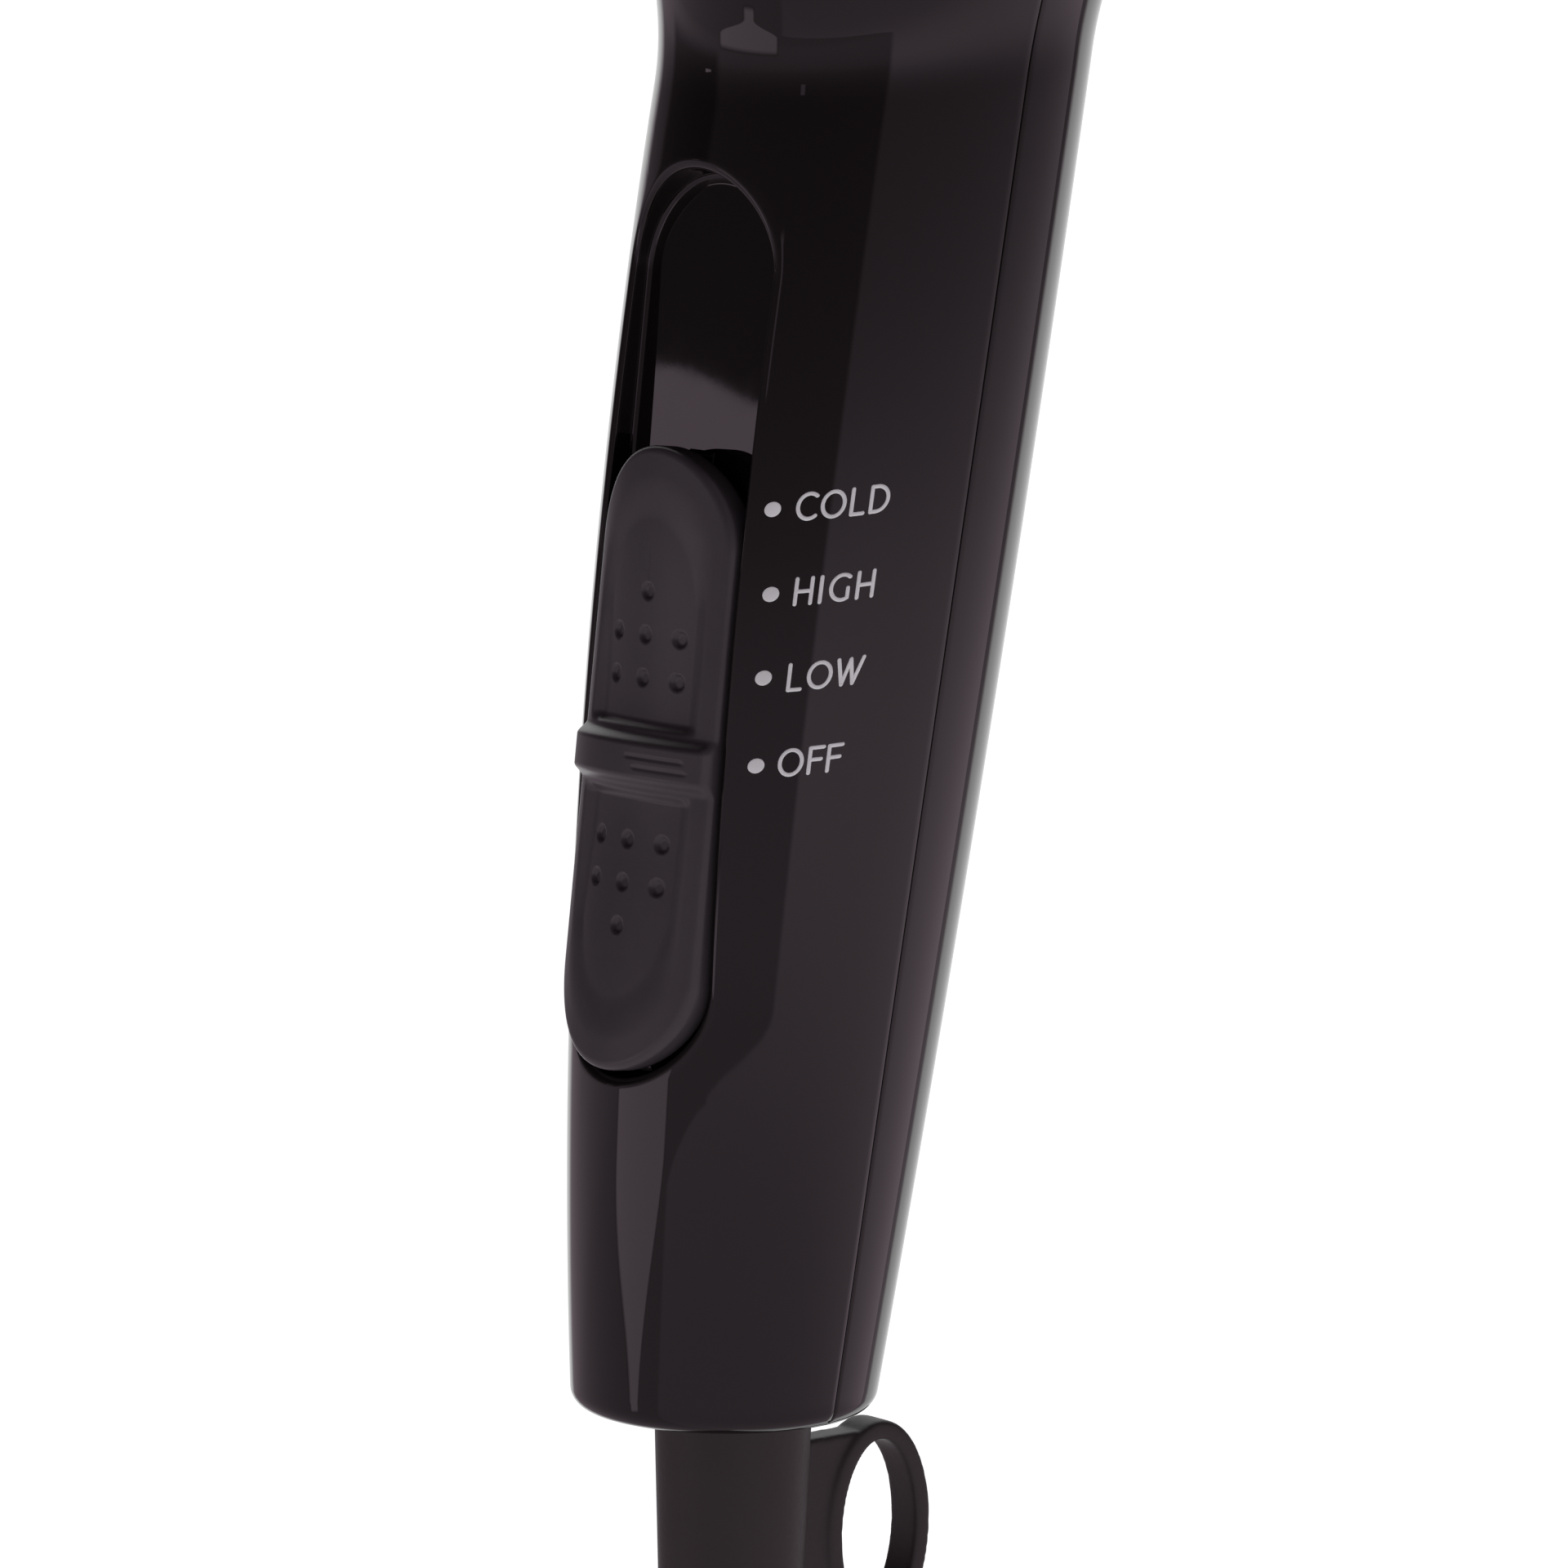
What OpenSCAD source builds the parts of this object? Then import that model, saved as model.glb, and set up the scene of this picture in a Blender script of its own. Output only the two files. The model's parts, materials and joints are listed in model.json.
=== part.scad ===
// Pistol-grip hair dryer, in millimetres.
// The barrel's axis is X, with the outlet at x = 0 facing -X and the intake at the +X end. +Z is up,
// and the handle hangs below the barrel, leaning towards the outlet.

/* [Barrel] */
// Length from the outlet's mouth to the back of the intake cover
barrel_len = 180; // [165:1:220]
// Largest outer radius of the barrel
barrel_r = 39.5; // [38:0.5:48]
// Outer radius of the housing where it meets the outlet ring
nose_r = 27; // [26.5:0.5:30]
// Thickness of the housing's wall
wall = 2.2; // [1.6:0.1:2.8]
// Length of the intake cover
cover_len = 22; // [18:1:28]

/* [Handle] */
// Distance from the barrel's axis down to the top of the plain grip
grip_top = 65; // [62:1:76]
// Height of the plain grip
grip_len = 119.4; // [112:1:145]
// Distance from the outlet's mouth to the grip's centre line, at the top of the grip
grip_x = 100; // [98:1:104]
// Radius of the grip at its top
grip_top_r = 19.6; // [19:0.2:23]
// Radius of the grip at its lower end
grip_end_r = 13.8; // [13.4:0.2:17]
// Amount by which the grip swells below its top
grip_swell = 1.14; // [0:0.1:2]
// Lean of the grip towards the outlet
grip_lean = 14.6; // [12:0.2:17]
// Forward bow of the grip's centre line
grip_bow = 1.6; // [0:0.1:2.4]
// Lean of the grip's end face
end_lean = 7.4; // [5:0.2:10]
// Distance from the grip's centre line back to the seam
seam_back = 1.1; // [0.5:0.1:2]
// Reach of the flare along the barrel, each way
flare_reach = 44; // [40:1:48]
// Reach of the flare round the barrel, as an angle
flare_wrap = 56; // [50:1:60]

/* [Slide switch] */
// Length of the slider button
slider_len = 56.4; // [50:0.2:60]
// Width of the slider button
slider_w = 18; // [16:0.2:19]
// Distance from the grip's top down to the middle of the slider, when it is off
slider_down = 57.3; // [55:0.1:60]
// Distance between two settings
setting_pitch = 7.66; // [6:0.02:8.4]
// Depth of the recess's flat floor below the grip's front line
recess_depth = 5.1; // [5:0.1:5.6]
// Height of the slider's ridge above its face
ridge_rise = 1.1; // [0.6:0.1:1.6]
// Diameter of a grip dot
dot_d = 1.45; // [1:0.05:1.8]

/* [Outlet] */
// Outer radius of the spigot that attachments push onto
spigot_r = 23; // [22.4:0.1:23.4]
// Length of the spigot
spigot_len = 10.2; // [8:0.2:14]

/* [Strain relief] */
// Radius of the cord's bore
cord_bore_r = 3.6; // [3:0.1:4]
// Length of the sleeve below the handle
sleeve_len = 46; // [40:1:60]
// Radius of the sleeve at its top
sleeve_top_r = 7.27; // [6.8:0.1:8]
// Distance from the sleeve's axis back to the middle of the hanging loop
loop_back = 16.7; // [15.5:0.1:20]
// Width of the hanging loop's opening
loop_w = 9; // [8:0.5:10]
// Length of the hanging loop's opening
loop_len = 17; // [15:0.5:20]

/* [Motor and heater] */
// Radius of the motor
motor_r = 14; // [13:0.1:15]
// Radius of the rotor shaft
shaft_r = 1.15; // [1:0.05:1.5]
// Outer radius of the fan duct
duct_r = 31.5; // [31:0.1:32]
// Number of fan blades
blades = 9; // [7:1:11]
// Number of turns in each heater coil
turns = 9; // [6:1:10]

/* [Hidden] */
$fn = 64;
eps = 0.05;
big = 400;

// clearances
slide_gap = 0.4;
run_gap = 0.03;
seat_gap = 0.3;

// barrel stations along X
nose_x = spigot_len + 1.8;
swell_x = 95;
cover_x = barrel_len - cover_len;
inner_r = barrel_r - wall;
ring_turns = 44;
flare_sink = 0.3;

// plain grip: u runs from 0 at its top to 1 at its end
function grip_u(z) = (-grip_top - z) / grip_len;
function grip_r(z) = let (u = grip_u(z))
    grip_top_r + grip_swell * u - (grip_top_r + grip_swell - grip_end_r) * u * u;
function grip_cx(z) = let (u = grip_u(z))
    grip_x - tan(grip_lean) * grip_len * u - 4 * grip_bow * u * (1 - u);
function grip_front(z) = grip_cx(z) - grip_r(z) / cos(grip_lean);
end_z = -grip_top - grip_len;
end_x = grip_cx(end_z) + seam_back;

// slide switch: settings run up the grip from OFF
travel = 3 * setting_pitch;
gap_low = 1;
gap_high = 1.9;
slide_z = -grip_top - slider_down;
recess_low = -slider_len / 2 - gap_low;
recess_high = slider_len / 2 + travel + gap_high;
slide_tilt = atan((grip_front(slide_z + recess_high) - grip_front(slide_z + recess_low))
                  / (recess_high - recess_low));
floor_t = 1.5;
crown_r = grip_r(slide_z) + 0.4;
button_t = 2.35;
button_r = slider_w / 2;
recess_r = button_r + slide_gap;
stem_w = 3;
stem_len = 8;
carrier_depth = recess_depth + floor_t + 1.2;
carrier_t = 2.6;
switch_depth = carrier_depth + carrier_t + 1.2;
switch_t = 8;
switch_w = 11;
switch_len = travel + stem_len + 16;
switch_mid = travel / 2;
terminal_len = 4;
terminal_pitch = 10;
lead_r = 0.8;
terminal_depth = switch_depth + switch_t + terminal_len + lead_r + 0.1;

// motor and fan stations along X
duct_end = cover_x - 14;
motor_len = 30;
motor_x = duct_end - 16 - motor_len;
duct_x = motor_x - 10;
flange_t = 2;
post_r = 2.85;
post_at = inner_r - post_r;
post_angles = [50, 130];
screw_r = 1.5;
head_r = 2.8;
head_t = 2.2;
magnet_r = motor_r - 0.8;
armature_r = magnet_r - 3.2;
brush_z = 3.2;
fan_x = motor_x + motor_len + 3;
fan_len = 12;
fan_r = duct_r - 1.5 - 0.7;
shaft_end = fan_x + fan_len - 3;

// heater stations along X
sleeve_r = nose_r - wall - 0.6;
heater_x = nose_x + 10;
heater_end = duct_x - 4;
board_w = sleeve_r - 4.2;
board_t = 0.8;
coil_x = heater_x + 8;
coil_pitch = (heater_end - coil_x - 9) / turns;
wire_r = 0.45;
coil_r = board_w - 0.6;

// lower handle stations
lower_screw_z = end_z + 24;
clamp_z = end_z + 12;
clamp_span = 7.2;

// ---- housing shapes ----

function barrel_radius(x) = x > swell_x ? barrel_r
    : nose_r + (barrel_r - nose_r) * sin(90 * (x - nose_x) / (swell_x - nose_x));

// Solid of the barrel, grown outwards by g
module barrel_solid(g, x0, x1) {
    steps = 16;
    rotate([0, 90, 0]) rotate_extrude($fn = 80)
        polygon(concat([[0, x0]],
            [for (i = [0:steps]) let (x = x0 + (x1 - x0) * i / steps) [barrel_radius(x) + g, x]],
            [[0, x1]]));
}

// One level ring of the grip, grown outwards by g
function grip_ring(z, g) = [for (i = [0:ring_turns - 1]) let (a = 360 * i / ring_turns, r = grip_r(z) + g)
    [grip_cx(z) + r / cos(grip_lean) * cos(a), r * sin(a), z]];

// Point on the barrel where the flare ends, at angle a round the grip; f scales the reach
function foot(a, f, g) = let (
    x = grip_cx(-barrel_r) + f * flare_reach * cos(a),
    r = barrel_radius(x) + g - flare_sink,
    w = f * flare_wrap * sin(a)) [x, r * sin(w), -r * cos(w)];

function unit(v) = v / norm(v);
function bezier(p, t) = p[0] * pow(1 - t, 3) + 3 * p[1] * t * pow(1 - t, 2)
    + 3 * p[2] * t * t * (1 - t) + p[3] * pow(t, 3);

// One ring of the flare, at t from 0 on the grip to 1 on the barrel
function flare_ring(t, g) = let (
    pull = 0.5 * (grip_top - barrel_r),
    low = grip_ring(-grip_top - 1, g),
    rim = grip_ring(-grip_top, g))
    [for (i = [0:ring_turns - 1]) let (
        a = 360 * i / ring_turns,
        end = foot(a, 1, g),
        up = unit(rim[i] - low[i]),
        out = unit(foot(a, 1.02, g) - foot(a, 0.98, g)))
        bezier([rim[i], rim[i] + up * pull, end - out * pull, end], t)];

// Closed solid through a list of rings, lowest first
module skin(rings) {
    n = len(rings[0]);
    m = len(rings);
    points = [for (r = rings) for (p = r) p];
    sides = [for (j = [0:m - 2]) for (i = [0:n - 1]) let (k = (i + 1) % n)
        each [[j * n + i, (j + 1) * n + i, j * n + k], [j * n + k, (j + 1) * n + i, (j + 1) * n + k]]];
    polyhedron(points, concat(sides, [[for (i = [0:n - 1]) i]],
        [[for (i = [n - 1:-1:0]) (m - 1) * n + i]]));
}

module grip_solid(g) {
    levels = 9;
    flare_steps = 7;
    low = -grip_top - grip_len - 8;
    skin(concat(
        [for (i = [0:levels]) grip_ring(low + (-grip_top - low) * i / levels, g)],
        [for (i = [1:flare_steps]) flare_ring(i / flare_steps, g)],
        [grip_ring(-barrel_r / 2, g)]));
}

// Half-space above the handle's end face, moved up the handle by d
module above_end(d) {
    translate([end_x, 0, end_z]) rotate([0, end_lean, 0])
        translate([-big / 2, -big / 2, d]) cube(big);
}

// Everything in front of the seam
module before_seam() {
    z_low = end_z - 20;
    z_high = barrel_r + 10;
    steps = 16;
    rotate([90, 0, 0]) translate([0, 0, -big / 2]) linear_extrude(big)
        polygon(concat([[-big, z_low]],
            [for (i = [0:steps]) let (z = z_low + (-grip_top - z_low) * i / steps)
                [grip_cx(z) + seam_back, z]],
            [[grip_cx(-grip_top) + seam_back
              + (z_high + grip_top) * (grip_cx(-grip_top + 1) - grip_cx(-grip_top)), z_high],
             [-big, z_high]]));
}

// Places children in the slider's own frame: origin on the grip's face at the slider's middle, Z along
// the travel, and -X outwards
module at_slider() {
    translate([grip_front(slide_z), 0, slide_z]) rotate([0, slide_tilt, 0]) children();
}

// A point of the slider's frame, in the dryer's frame
function slider_point(p) = [grip_front(slide_z) + p[0] * cos(slide_tilt) + p[2] * sin(slide_tilt), p[1],
    slide_z - p[0] * sin(slide_tilt) + p[2] * cos(slide_tilt)];

// Bar with round ends in the slider's frame, from depth d0 to d1 and from height z0 to z1
module stadium_bar(r, z0, z1, d0, d1) {
    translate([d0, 0, 0]) rotate([0, 90, 0]) linear_extrude(d1 - d0) {
        translate([-(z0 + r), 0]) circle(r);
        translate([-(z1 - r), 0]) circle(r);
        translate([-(z1 - r), -r]) square([z1 - z0 - 2 * r, 2 * r]);
    }
}

// Straight round bar along the travel, whose crown lies at depth d
module crown_bar(d, extra) {
    translate([crown_r, 0, recess_low - extra])
        cylinder(h = recess_high - recess_low + 2 * extra, r = crown_r - d, $fn = 60);
}

module shell() {
    difference() {
        intersection() {
            union() {
                barrel_solid(0, nose_x, cover_x);
                grip_solid(0);
            }
            above_end(0);
        }
        difference() {
            union() {
                barrel_solid(-wall, nose_x - 1, cover_x + 1);
                intersection() {
                    grip_solid(-wall);
                    above_end(wall);
                }
            }
            nose_lip();
        }
    }
}

// Front lip that the outlet ring's tail passes through
module nose_lip() {
    rotate([0, 90, 0]) translate([0, 0, nose_x]) difference() {
        cylinder(h = 2, r = nose_r - 0.5);
        translate([0, 0, -1]) cylinder(h = 4, r = spigot_r + 0.9 + eps);
    }
}

// Hollow ring inside the barrel wall, from x to x + t, with a bore of radius r
module barrel_ledge(x, t, r) {
    rotate([0, 90, 0]) translate([0, 0, x]) difference() {
        cylinder(h = t, r = barrel_r - wall / 2, $fn = 96);
        translate([0, 0, -1]) cylinder(h = t + 2, r = r, $fn = 96);
    }
}

// Screw post beside the duct, blended into the wall
module barrel_post(a, x0, x1) {
    hull() for (root = [0, 1])
        rotate([a, 0, 0]) translate([x0, post_at + 2.2 * root, 0]) rotate([0, 90, 0])
            cylinder(h = x1 - x0, r = post_r - 1.4 * root, $fn = 24);
}

// Stiffening rib round the inside of the grip at height z
module grip_rib(z) {
    rib_t = 1.2;
    difference() {
        hull() for (dz = [0, rib_t]) translate([grip_cx(z), 0, z + dz])
            cylinder(h = 0.1, r = grip_r(z) - 0.6, $fn = 32);
        translate([grip_cx(z), 0, z - 1]) cylinder(h = rib_t + 3, r = grip_r(z) - wall - 1.2, $fn = 32);
    }
}

// Ends of the switch cradle, in the slider's frame
module cradle_ends() {
    for (end = [switch_mid - switch_len / 2 - 1.4, switch_mid + switch_len / 2 + 0.2], side = [-1, 1])
        hull() {
            translate([recess_depth + 0.4, side * 4.2 - 1, end]) cube([2, 2, 1.2]);
            translate([switch_depth + 5, side * 4.2 - 0.8, end]) cube([0.5, 1.6, 1.2]);
        }
}

module front_housing() {
    color([0.11, 0.1, 0.1]) difference() {
        union() {
            intersection() {
                union() {
                    shell();
                    barrel_ledge(duct_x + 2, 2, duct_r + eps);
                    grip_rib(end_z + 30);
                    for (a = post_angles) barrel_post(a, motor_x + 4, 150);
                }
                before_seam();
            }
            intersection() {
                union() {
                    at_slider() stadium_bar(recess_r + 1.8, recess_low - 1.8, recess_high + 1.8, 0.3,
                        recess_depth + floor_t);
                    at_slider() cradle_ends();
                    for (side = [-1, 1]) clamp_boss(side);
                    front_lower_post();
                }
                grip_solid(-wall / 2);
            }
        }
        at_slider() {
            stadium_bar(recess_r, recess_low, recess_high, -8, recess_depth);
            translate([0, -stem_w / 2 - 0.2, -stem_len / 2 - 0.6])
                cube([recess_depth + floor_t + 3, stem_w + 0.4, stem_len + travel + 1.2]);
        }
        for (a = post_angles) rotate([a, 0, 0]) translate([motor_x + 12, post_at, 0])
            rotate([0, 90, 0]) cylinder(h = 60, r = screw_r, $fn = 24);
        lower_screw_hole(screw_r);
        for (side = [-1, 1]) clamp_hole(side);
        strain_relief_seat();
    }
}

module rear_housing() {
    color([0.1, 0.09, 0.09]) difference() {
        union() {
            shell();
            barrel_ledge(duct_end - 2, 2, duct_r + eps);
            for (k = [0:5]) grip_rib(end_z + 34 + 15 * k);
            for (a = post_angles) barrel_post(a, motor_x + 4, duct_end);
            intersection() {
                rear_lower_post();
                grip_solid(-wall / 2);
            }
        }
        before_seam();
        for (a = post_angles) rotate([a, 0, 0]) translate([motor_x + 12, post_at, 0])
            rotate([0, 90, 0]) cylinder(h = 60, r = screw_r + 0.15, $fn = 24);
        lower_screw_hole(screw_r + 0.15);
        lower_screw_frame() translate([0, 0, grip_r(lower_screw_z) - seam_back - 4])
            cylinder(h = 12, r = head_r + 0.3, $fn = 32);
        strain_relief_seat();
    }
}

// Frame of the handle's screw: Z points straight back from the seam
module lower_screw_frame() {
    translate([grip_cx(lower_screw_z) + seam_back, 0, lower_screw_z])
        rotate([0, 90 + grip_lean - 4, 0]) children();
}

module lower_screw_hole(r) {
    lower_screw_frame() translate([0, 0, -9]) cylinder(h = 40, r = r, $fn = 24);
}

module front_lower_post() {
    lower_screw_frame() translate([0, 0, -20]) cylinder(h = 20, r = 3.2, $fn = 32);
}

module rear_lower_post() {
    lower_screw_frame() cylinder(h = 20, r = 3.8, $fn = 32);
}

// Frame of the cord clamp: Z points back, at the clamp's height
module clamp_frame() {
    translate([grip_cx(clamp_z) + seam_back, 0, clamp_z]) rotate([0, 90 + end_lean, 0]) children();
}

module clamp_boss(side) {
    hull() {
        clamp_frame() translate([0, side * clamp_span, -14]) cylinder(h = 12.5, r = 2.6, $fn = 32);
        clamp_frame() translate([0, side * (clamp_span + 3), -14]) cylinder(h = 12.5, r = 1.6, $fn = 32);
    }
}

module clamp_hole(side) {
    clamp_frame() translate([0, side * clamp_span, -8]) cylinder(h = 10, r = screw_r - 0.2, $fn = 24);
}

// Hole in the handle's end wall for the strain relief's neck
module strain_relief_seat() {
    translate([end_x, 0, end_z]) rotate([0, end_lean, 0])
        translate([0, 0, -3]) cylinder(h = 10, r = sleeve_top_r + 0.15);
}

// ---- outlet ----

module outlet_ring() {
    color([0.13, 0.12, 0.12]) rotate([0, 90, 0]) rotate_extrude($fn = 96)
        polygon([[spigot_r - 1.8, 0.6], [spigot_r - 1.2, 0], [spigot_r, 0], [spigot_r, spigot_len],
                 [nose_r - 0.5, spigot_len], [nose_r - 0.1, spigot_len + 0.4],
                 [nose_r - 0.1, nose_x], [spigot_r + 0.9, nose_x], [spigot_r + 0.9, nose_x + 8],
                 [spigot_r - 1.8, nose_x + 8]]);
}

module outlet_grille() {
    grille_x = 5;
    grille_t = 2.4;
    rings = [5, 9, 13, 17];
    color([0.09, 0.09, 0.09]) translate([grille_x, 0, 0]) rotate([0, 90, 0]) {
        difference() {
            cylinder(h = grille_t, r = spigot_r - 1.8);
            translate([0, 0, -1]) cylinder(h = grille_t + 2, r = spigot_r - 3.6);
        }
        for (r = rings) difference() {
            cylinder(h = grille_t, r = r + 0.5);
            translate([0, 0, -1]) cylinder(h = grille_t + 2, r = r - 0.5);
        }
        for (a = [0:45:315]) rotate([0, 0, a]) translate([4.8, -0.5, 0])
            cube([spigot_r - 7.4, 1, grille_t]);
    }
}

// ---- intake ----

module intake_cover() {
    dome = 7;
    t = 1.8;
    plug_r = inner_r - seat_gap;
    plug_len = 8;
    plate_r = barrel_r - 9;
    slot_rows = [8, 14, 20, 26];
    slot_len = 3.8;
    slot_w = 2.6;
    color([0.1, 0.1, 0.1]) translate([cover_x, 0, 0]) rotate([0, 90, 0]) {
        rotate_extrude($fn = 96) polygon([
            [plug_r - 1.6, -plug_len], [plug_r - 0.4, -plug_len], [plug_r, -plug_len + 0.6], [plug_r, 0.1],
            [barrel_r, 0.1], [barrel_r, cover_len - dome], [barrel_r - 1.2, cover_len - dome + 3],
            [barrel_r - 3.4, cover_len - dome + 5.4], [barrel_r - 6.4, cover_len - 0.6],
            [plate_r, cover_len - 0.4], [plate_r, cover_len - 0.4 - t], [barrel_r - 6.8, cover_len - 0.6 - t],
            [barrel_r - 5, cover_len - dome + 4], [barrel_r - 3, cover_len - dome + 2],
            [barrel_r - t - 0.2, cover_len - dome], [barrel_r - t - 0.2, 2], [plug_r - 1.6, 2]]);
        translate([0, 0, cover_len - t]) linear_extrude(t) difference() {
            circle(plate_r + 0.1, $fn = 96);
            for (row = [0:len(slot_rows) - 1]) rotate(row * 9)
                for (a = [0:360 / (6 + 6 * row):359]) rotate(a)
                    translate([slot_rows[row], 0]) square([slot_len, slot_w], center = true);
        }
    }
}

module lint_filter() {
    filter_x = cover_x + 2;
    frame_r = barrel_r - 2.2;
    color([0.35, 0.35, 0.36]) translate([filter_x, 0, 0]) rotate([0, 90, 0]) {
        difference() {
            cylinder(h = 2, r = frame_r, $fn = 96);
            translate([0, 0, -1]) cylinder(h = 4, r = frame_r - 2);
        }
        intersection() {
            union() for (k = [-4:4], turn = [0, 90])
                rotate(turn) translate([-barrel_r, k * 7.6 - 0.3, 0.6]) cube([2 * barrel_r, 0.6, 0.6]);
            cylinder(h = 2, r = frame_r - 1);
        }
    }
}

// ---- motor and fan ----

module tube(x, h, r_out, r_in) {
    translate([x, 0, 0]) rotate([0, 90, 0]) difference() {
        cylinder(h = h, r = r_out);
        translate([0, 0, -1]) cylinder(h = h + 2, r = r_in);
    }
}

module rod(x, h, r) {
    translate([x, 0, 0]) rotate([0, 90, 0]) cylinder(h = h, r = r);
}

module motor_duct() {
    hub_r = motor_r + 2.5;
    vanes = 7;
    color([0.8, 0.78, 0.7]) difference() {
        union() {
            tube(duct_x, duct_end - duct_x, duct_r, duct_r - 1.5);
            tube(duct_end, flange_t, inner_r - seat_gap, duct_r - 1.5);
            tube(motor_x + 2, motor_len - 2, hub_r + 1.2, hub_r);
            tube(motor_x + motor_len, 1.5, hub_r + 1.2, 4);
            for (i = [0:vanes - 1]) rotate([360 * i / vanes, 0, 0])
                translate([motor_x + 4, -0.6, hub_r + 0.6]) cube([20, 1.2, duct_r - hub_r - 1.4]);
        }
        for (a = post_angles) rotate([a, 0, 0]) translate([duct_end - 1, post_at, 0])
            rotate([0, 90, 0]) cylinder(h = 4, r = screw_r + 0.2, $fn = 24);
    }
}

module motor_ring() {
    color([0.15, 0.15, 0.15]) tube(motor_x + 8, 12, motor_r + 2.5, motor_r);
}

module motor_can() {
    color([0.7, 0.7, 0.72]) {
        tube(motor_x, motor_len - 1, motor_r, magnet_r);
        tube(motor_x + motor_len - 1, 1, motor_r, 3);
    }
}

module motor_magnets() {
    color([0.3, 0.3, 0.32]) difference() {
        tube(motor_x + 4, 20, magnet_r, armature_r + 0.6);
        for (side = [-1, 1]) translate([motor_x, side > 0 ? 8 : -20, -4]) cube([30, 12, 8]);
    }
}

module motor_end_cap() {
    color([0.9, 0.9, 0.86]) tube(motor_x - 3, 3, motor_r, 3);
}

module motor_bearings() {
    color([0.75, 0.6, 0.3]) {
        tube(motor_x - 4, 4, 3, shaft_r + run_gap);
        tube(motor_x + motor_len - 1.5, 3.5, 3, shaft_r + run_gap);
    }
}

module rotor_shaft() {
    color([0.8, 0.8, 0.82]) rod(motor_x - 5, shaft_end - motor_x + 5, shaft_r);
}

module armature() {
    core_len = 16;
    poles = 5;
    color([0.5, 0.5, 0.52]) difference() {
        rod(motor_x + 6, core_len, armature_r);
        rod(motor_x + 5, core_len + 2, shaft_r);
        for (i = [0:poles - 1]) rotate([360 * i / poles, 0, 0])
            translate([motor_x + 5, -0.8, 4.5]) cube([core_len + 2, 1.6, armature_r]);
    }
}

module windings() {
    color([0.7, 0.35, 0.15]) {
        tube(motor_x + 3.2, 2.8, armature_r - 1.4, 4.2);
        tube(motor_x + 22, 2.8, armature_r - 1.4, 4.2);
        for (i = [0:4]) rotate([72 * i, 0, 0])
            translate([motor_x + 6, -0.8, 4.5]) cube([16, 1.6, armature_r - 6]);
    }
}

module commutator() {
    color([0.8, 0.5, 0.3]) tube(motor_x + 0.4, 5.6, brush_z, shaft_r);
}

module brushes() {
    color([0.2, 0.2, 0.2]) for (turn = [0, 180]) rotate([turn, 0, 0])
        translate([motor_x + 0.4, -1.2, brush_z + eps]) cube([2.4, 2.4, magnet_r - brush_z - 2 * eps]);
}

module fan() {
    hub = 10;
    pitch = 38;
    color([0.85, 0.85, 0.82]) {
        difference() {
            union() {
                rod(fan_x, fan_len, hub);
                intersection() {
                    tube(fan_x + 0.5, fan_len - 1, fan_r, hub - 1);
                    union() for (i = [0:blades - 1]) rotate([360 * i / blades, 0, 0])
                        translate([fan_x + fan_len / 2, 0, hub - 0.5]) rotate([0, 0, pitch])
                            translate([-9, -0.6, 0]) cube([18, 1.2, fan_r]);
                }
            }
            rod(fan_x - 1, shaft_end - fan_x + 1, shaft_r);
        }
    }
}

// ---- heater ----

// Board in the XZ plane with a notch for every turn and two pairs of tabs
module heater_board() {
    tab = sleeve_r - 0.6 - eps;
    difference() {
        union() {
            translate([heater_x, -board_t / 2, -board_w])
                cube([heater_end - heater_x - 1, board_t, 2 * board_w]);
            for (x = [heater_x + 2, heater_end - 6])
                translate([x, -board_t / 2, -tab]) cube([3, board_t, 2 * tab]);
        }
        for (i = [0:2 * turns - 1], side = [-1, 1])
            translate([coil_x + i * coil_pitch / 2 - 0.55, -1, side > 0 ? coil_r - 0.5 : -board_w - 1])
                cube([1.1, 2, board_w - coil_r + 1.5]);
    }
}

heater_mid = (heater_x + heater_end) / 2;

module heater_board_upright() {
    color([0.75, 0.72, 0.6]) difference() {
        heater_board();
        translate([heater_x - 1, -1, -board_t / 2 - eps])
            cube([heater_mid - heater_x + 1.2, 2, board_t + 2 * eps]);
    }
}

module heater_board_level() {
    color([0.72, 0.69, 0.58]) rotate([90, 0, 0]) difference() {
        heater_board();
        translate([heater_mid - 0.2, -1, -board_t / 2 - eps])
            cube([heater_end - heater_mid + 1.2, 2, board_t + 2 * eps]);
    }
}

// Turns of resistance wire round both boards, starting at x
module coil(x) {
    for (i = [0:turns - 1]) translate([x + i * coil_pitch, 0, 0]) rotate([0, 90, 0])
        rotate_extrude() translate([coil_r, 0]) circle(wire_r, $fn = 16);
}

module heater_coil_high() {
    color([0.6, 0.58, 0.55]) coil(coil_x);
}

module heater_coil_low() {
    color([0.55, 0.53, 0.5]) coil(coil_x + coil_pitch / 2);
}

module heater_sleeve() {
    color([0.7, 0.66, 0.55]) tube(nose_x + 8.2, heater_end - nose_x - 8.2, sleeve_r, sleeve_r - 0.6);
}

module thermostat() {
    color([0.75, 0.7, 0.5]) translate([heater_end - 14, board_t / 2, 5]) {
        cube([9, 3, 8]);
        translate([-3, 0, 3]) cube([15, 1, 2]);
    }
}

module thermal_fuse() {
    color([0.85, 0.85, 0.8]) translate([heater_end - 14, board_t / 2 + 1.4, -9]) rotate([0, 90, 0]) {
        cylinder(h = 9, r = 1.4);
        translate([0, 0, -4]) cylinder(h = 16, r = 0.4);
    }
}

module diode_board() {
    color([0.15, 0.4, 0.2]) tube(motor_x - 4.6, 1.6, motor_r - 1, 5);
}

module diodes() {
    color([0.15, 0.15, 0.15]) for (i = [0:3]) rotate([90 * i + 45, 0, 0])
        translate([motor_x - 6, -2.5, 9]) rotate([-90, 0, 0]) cylinder(h = 5, r = 1.4);
}

// ---- slide switch ----

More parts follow.
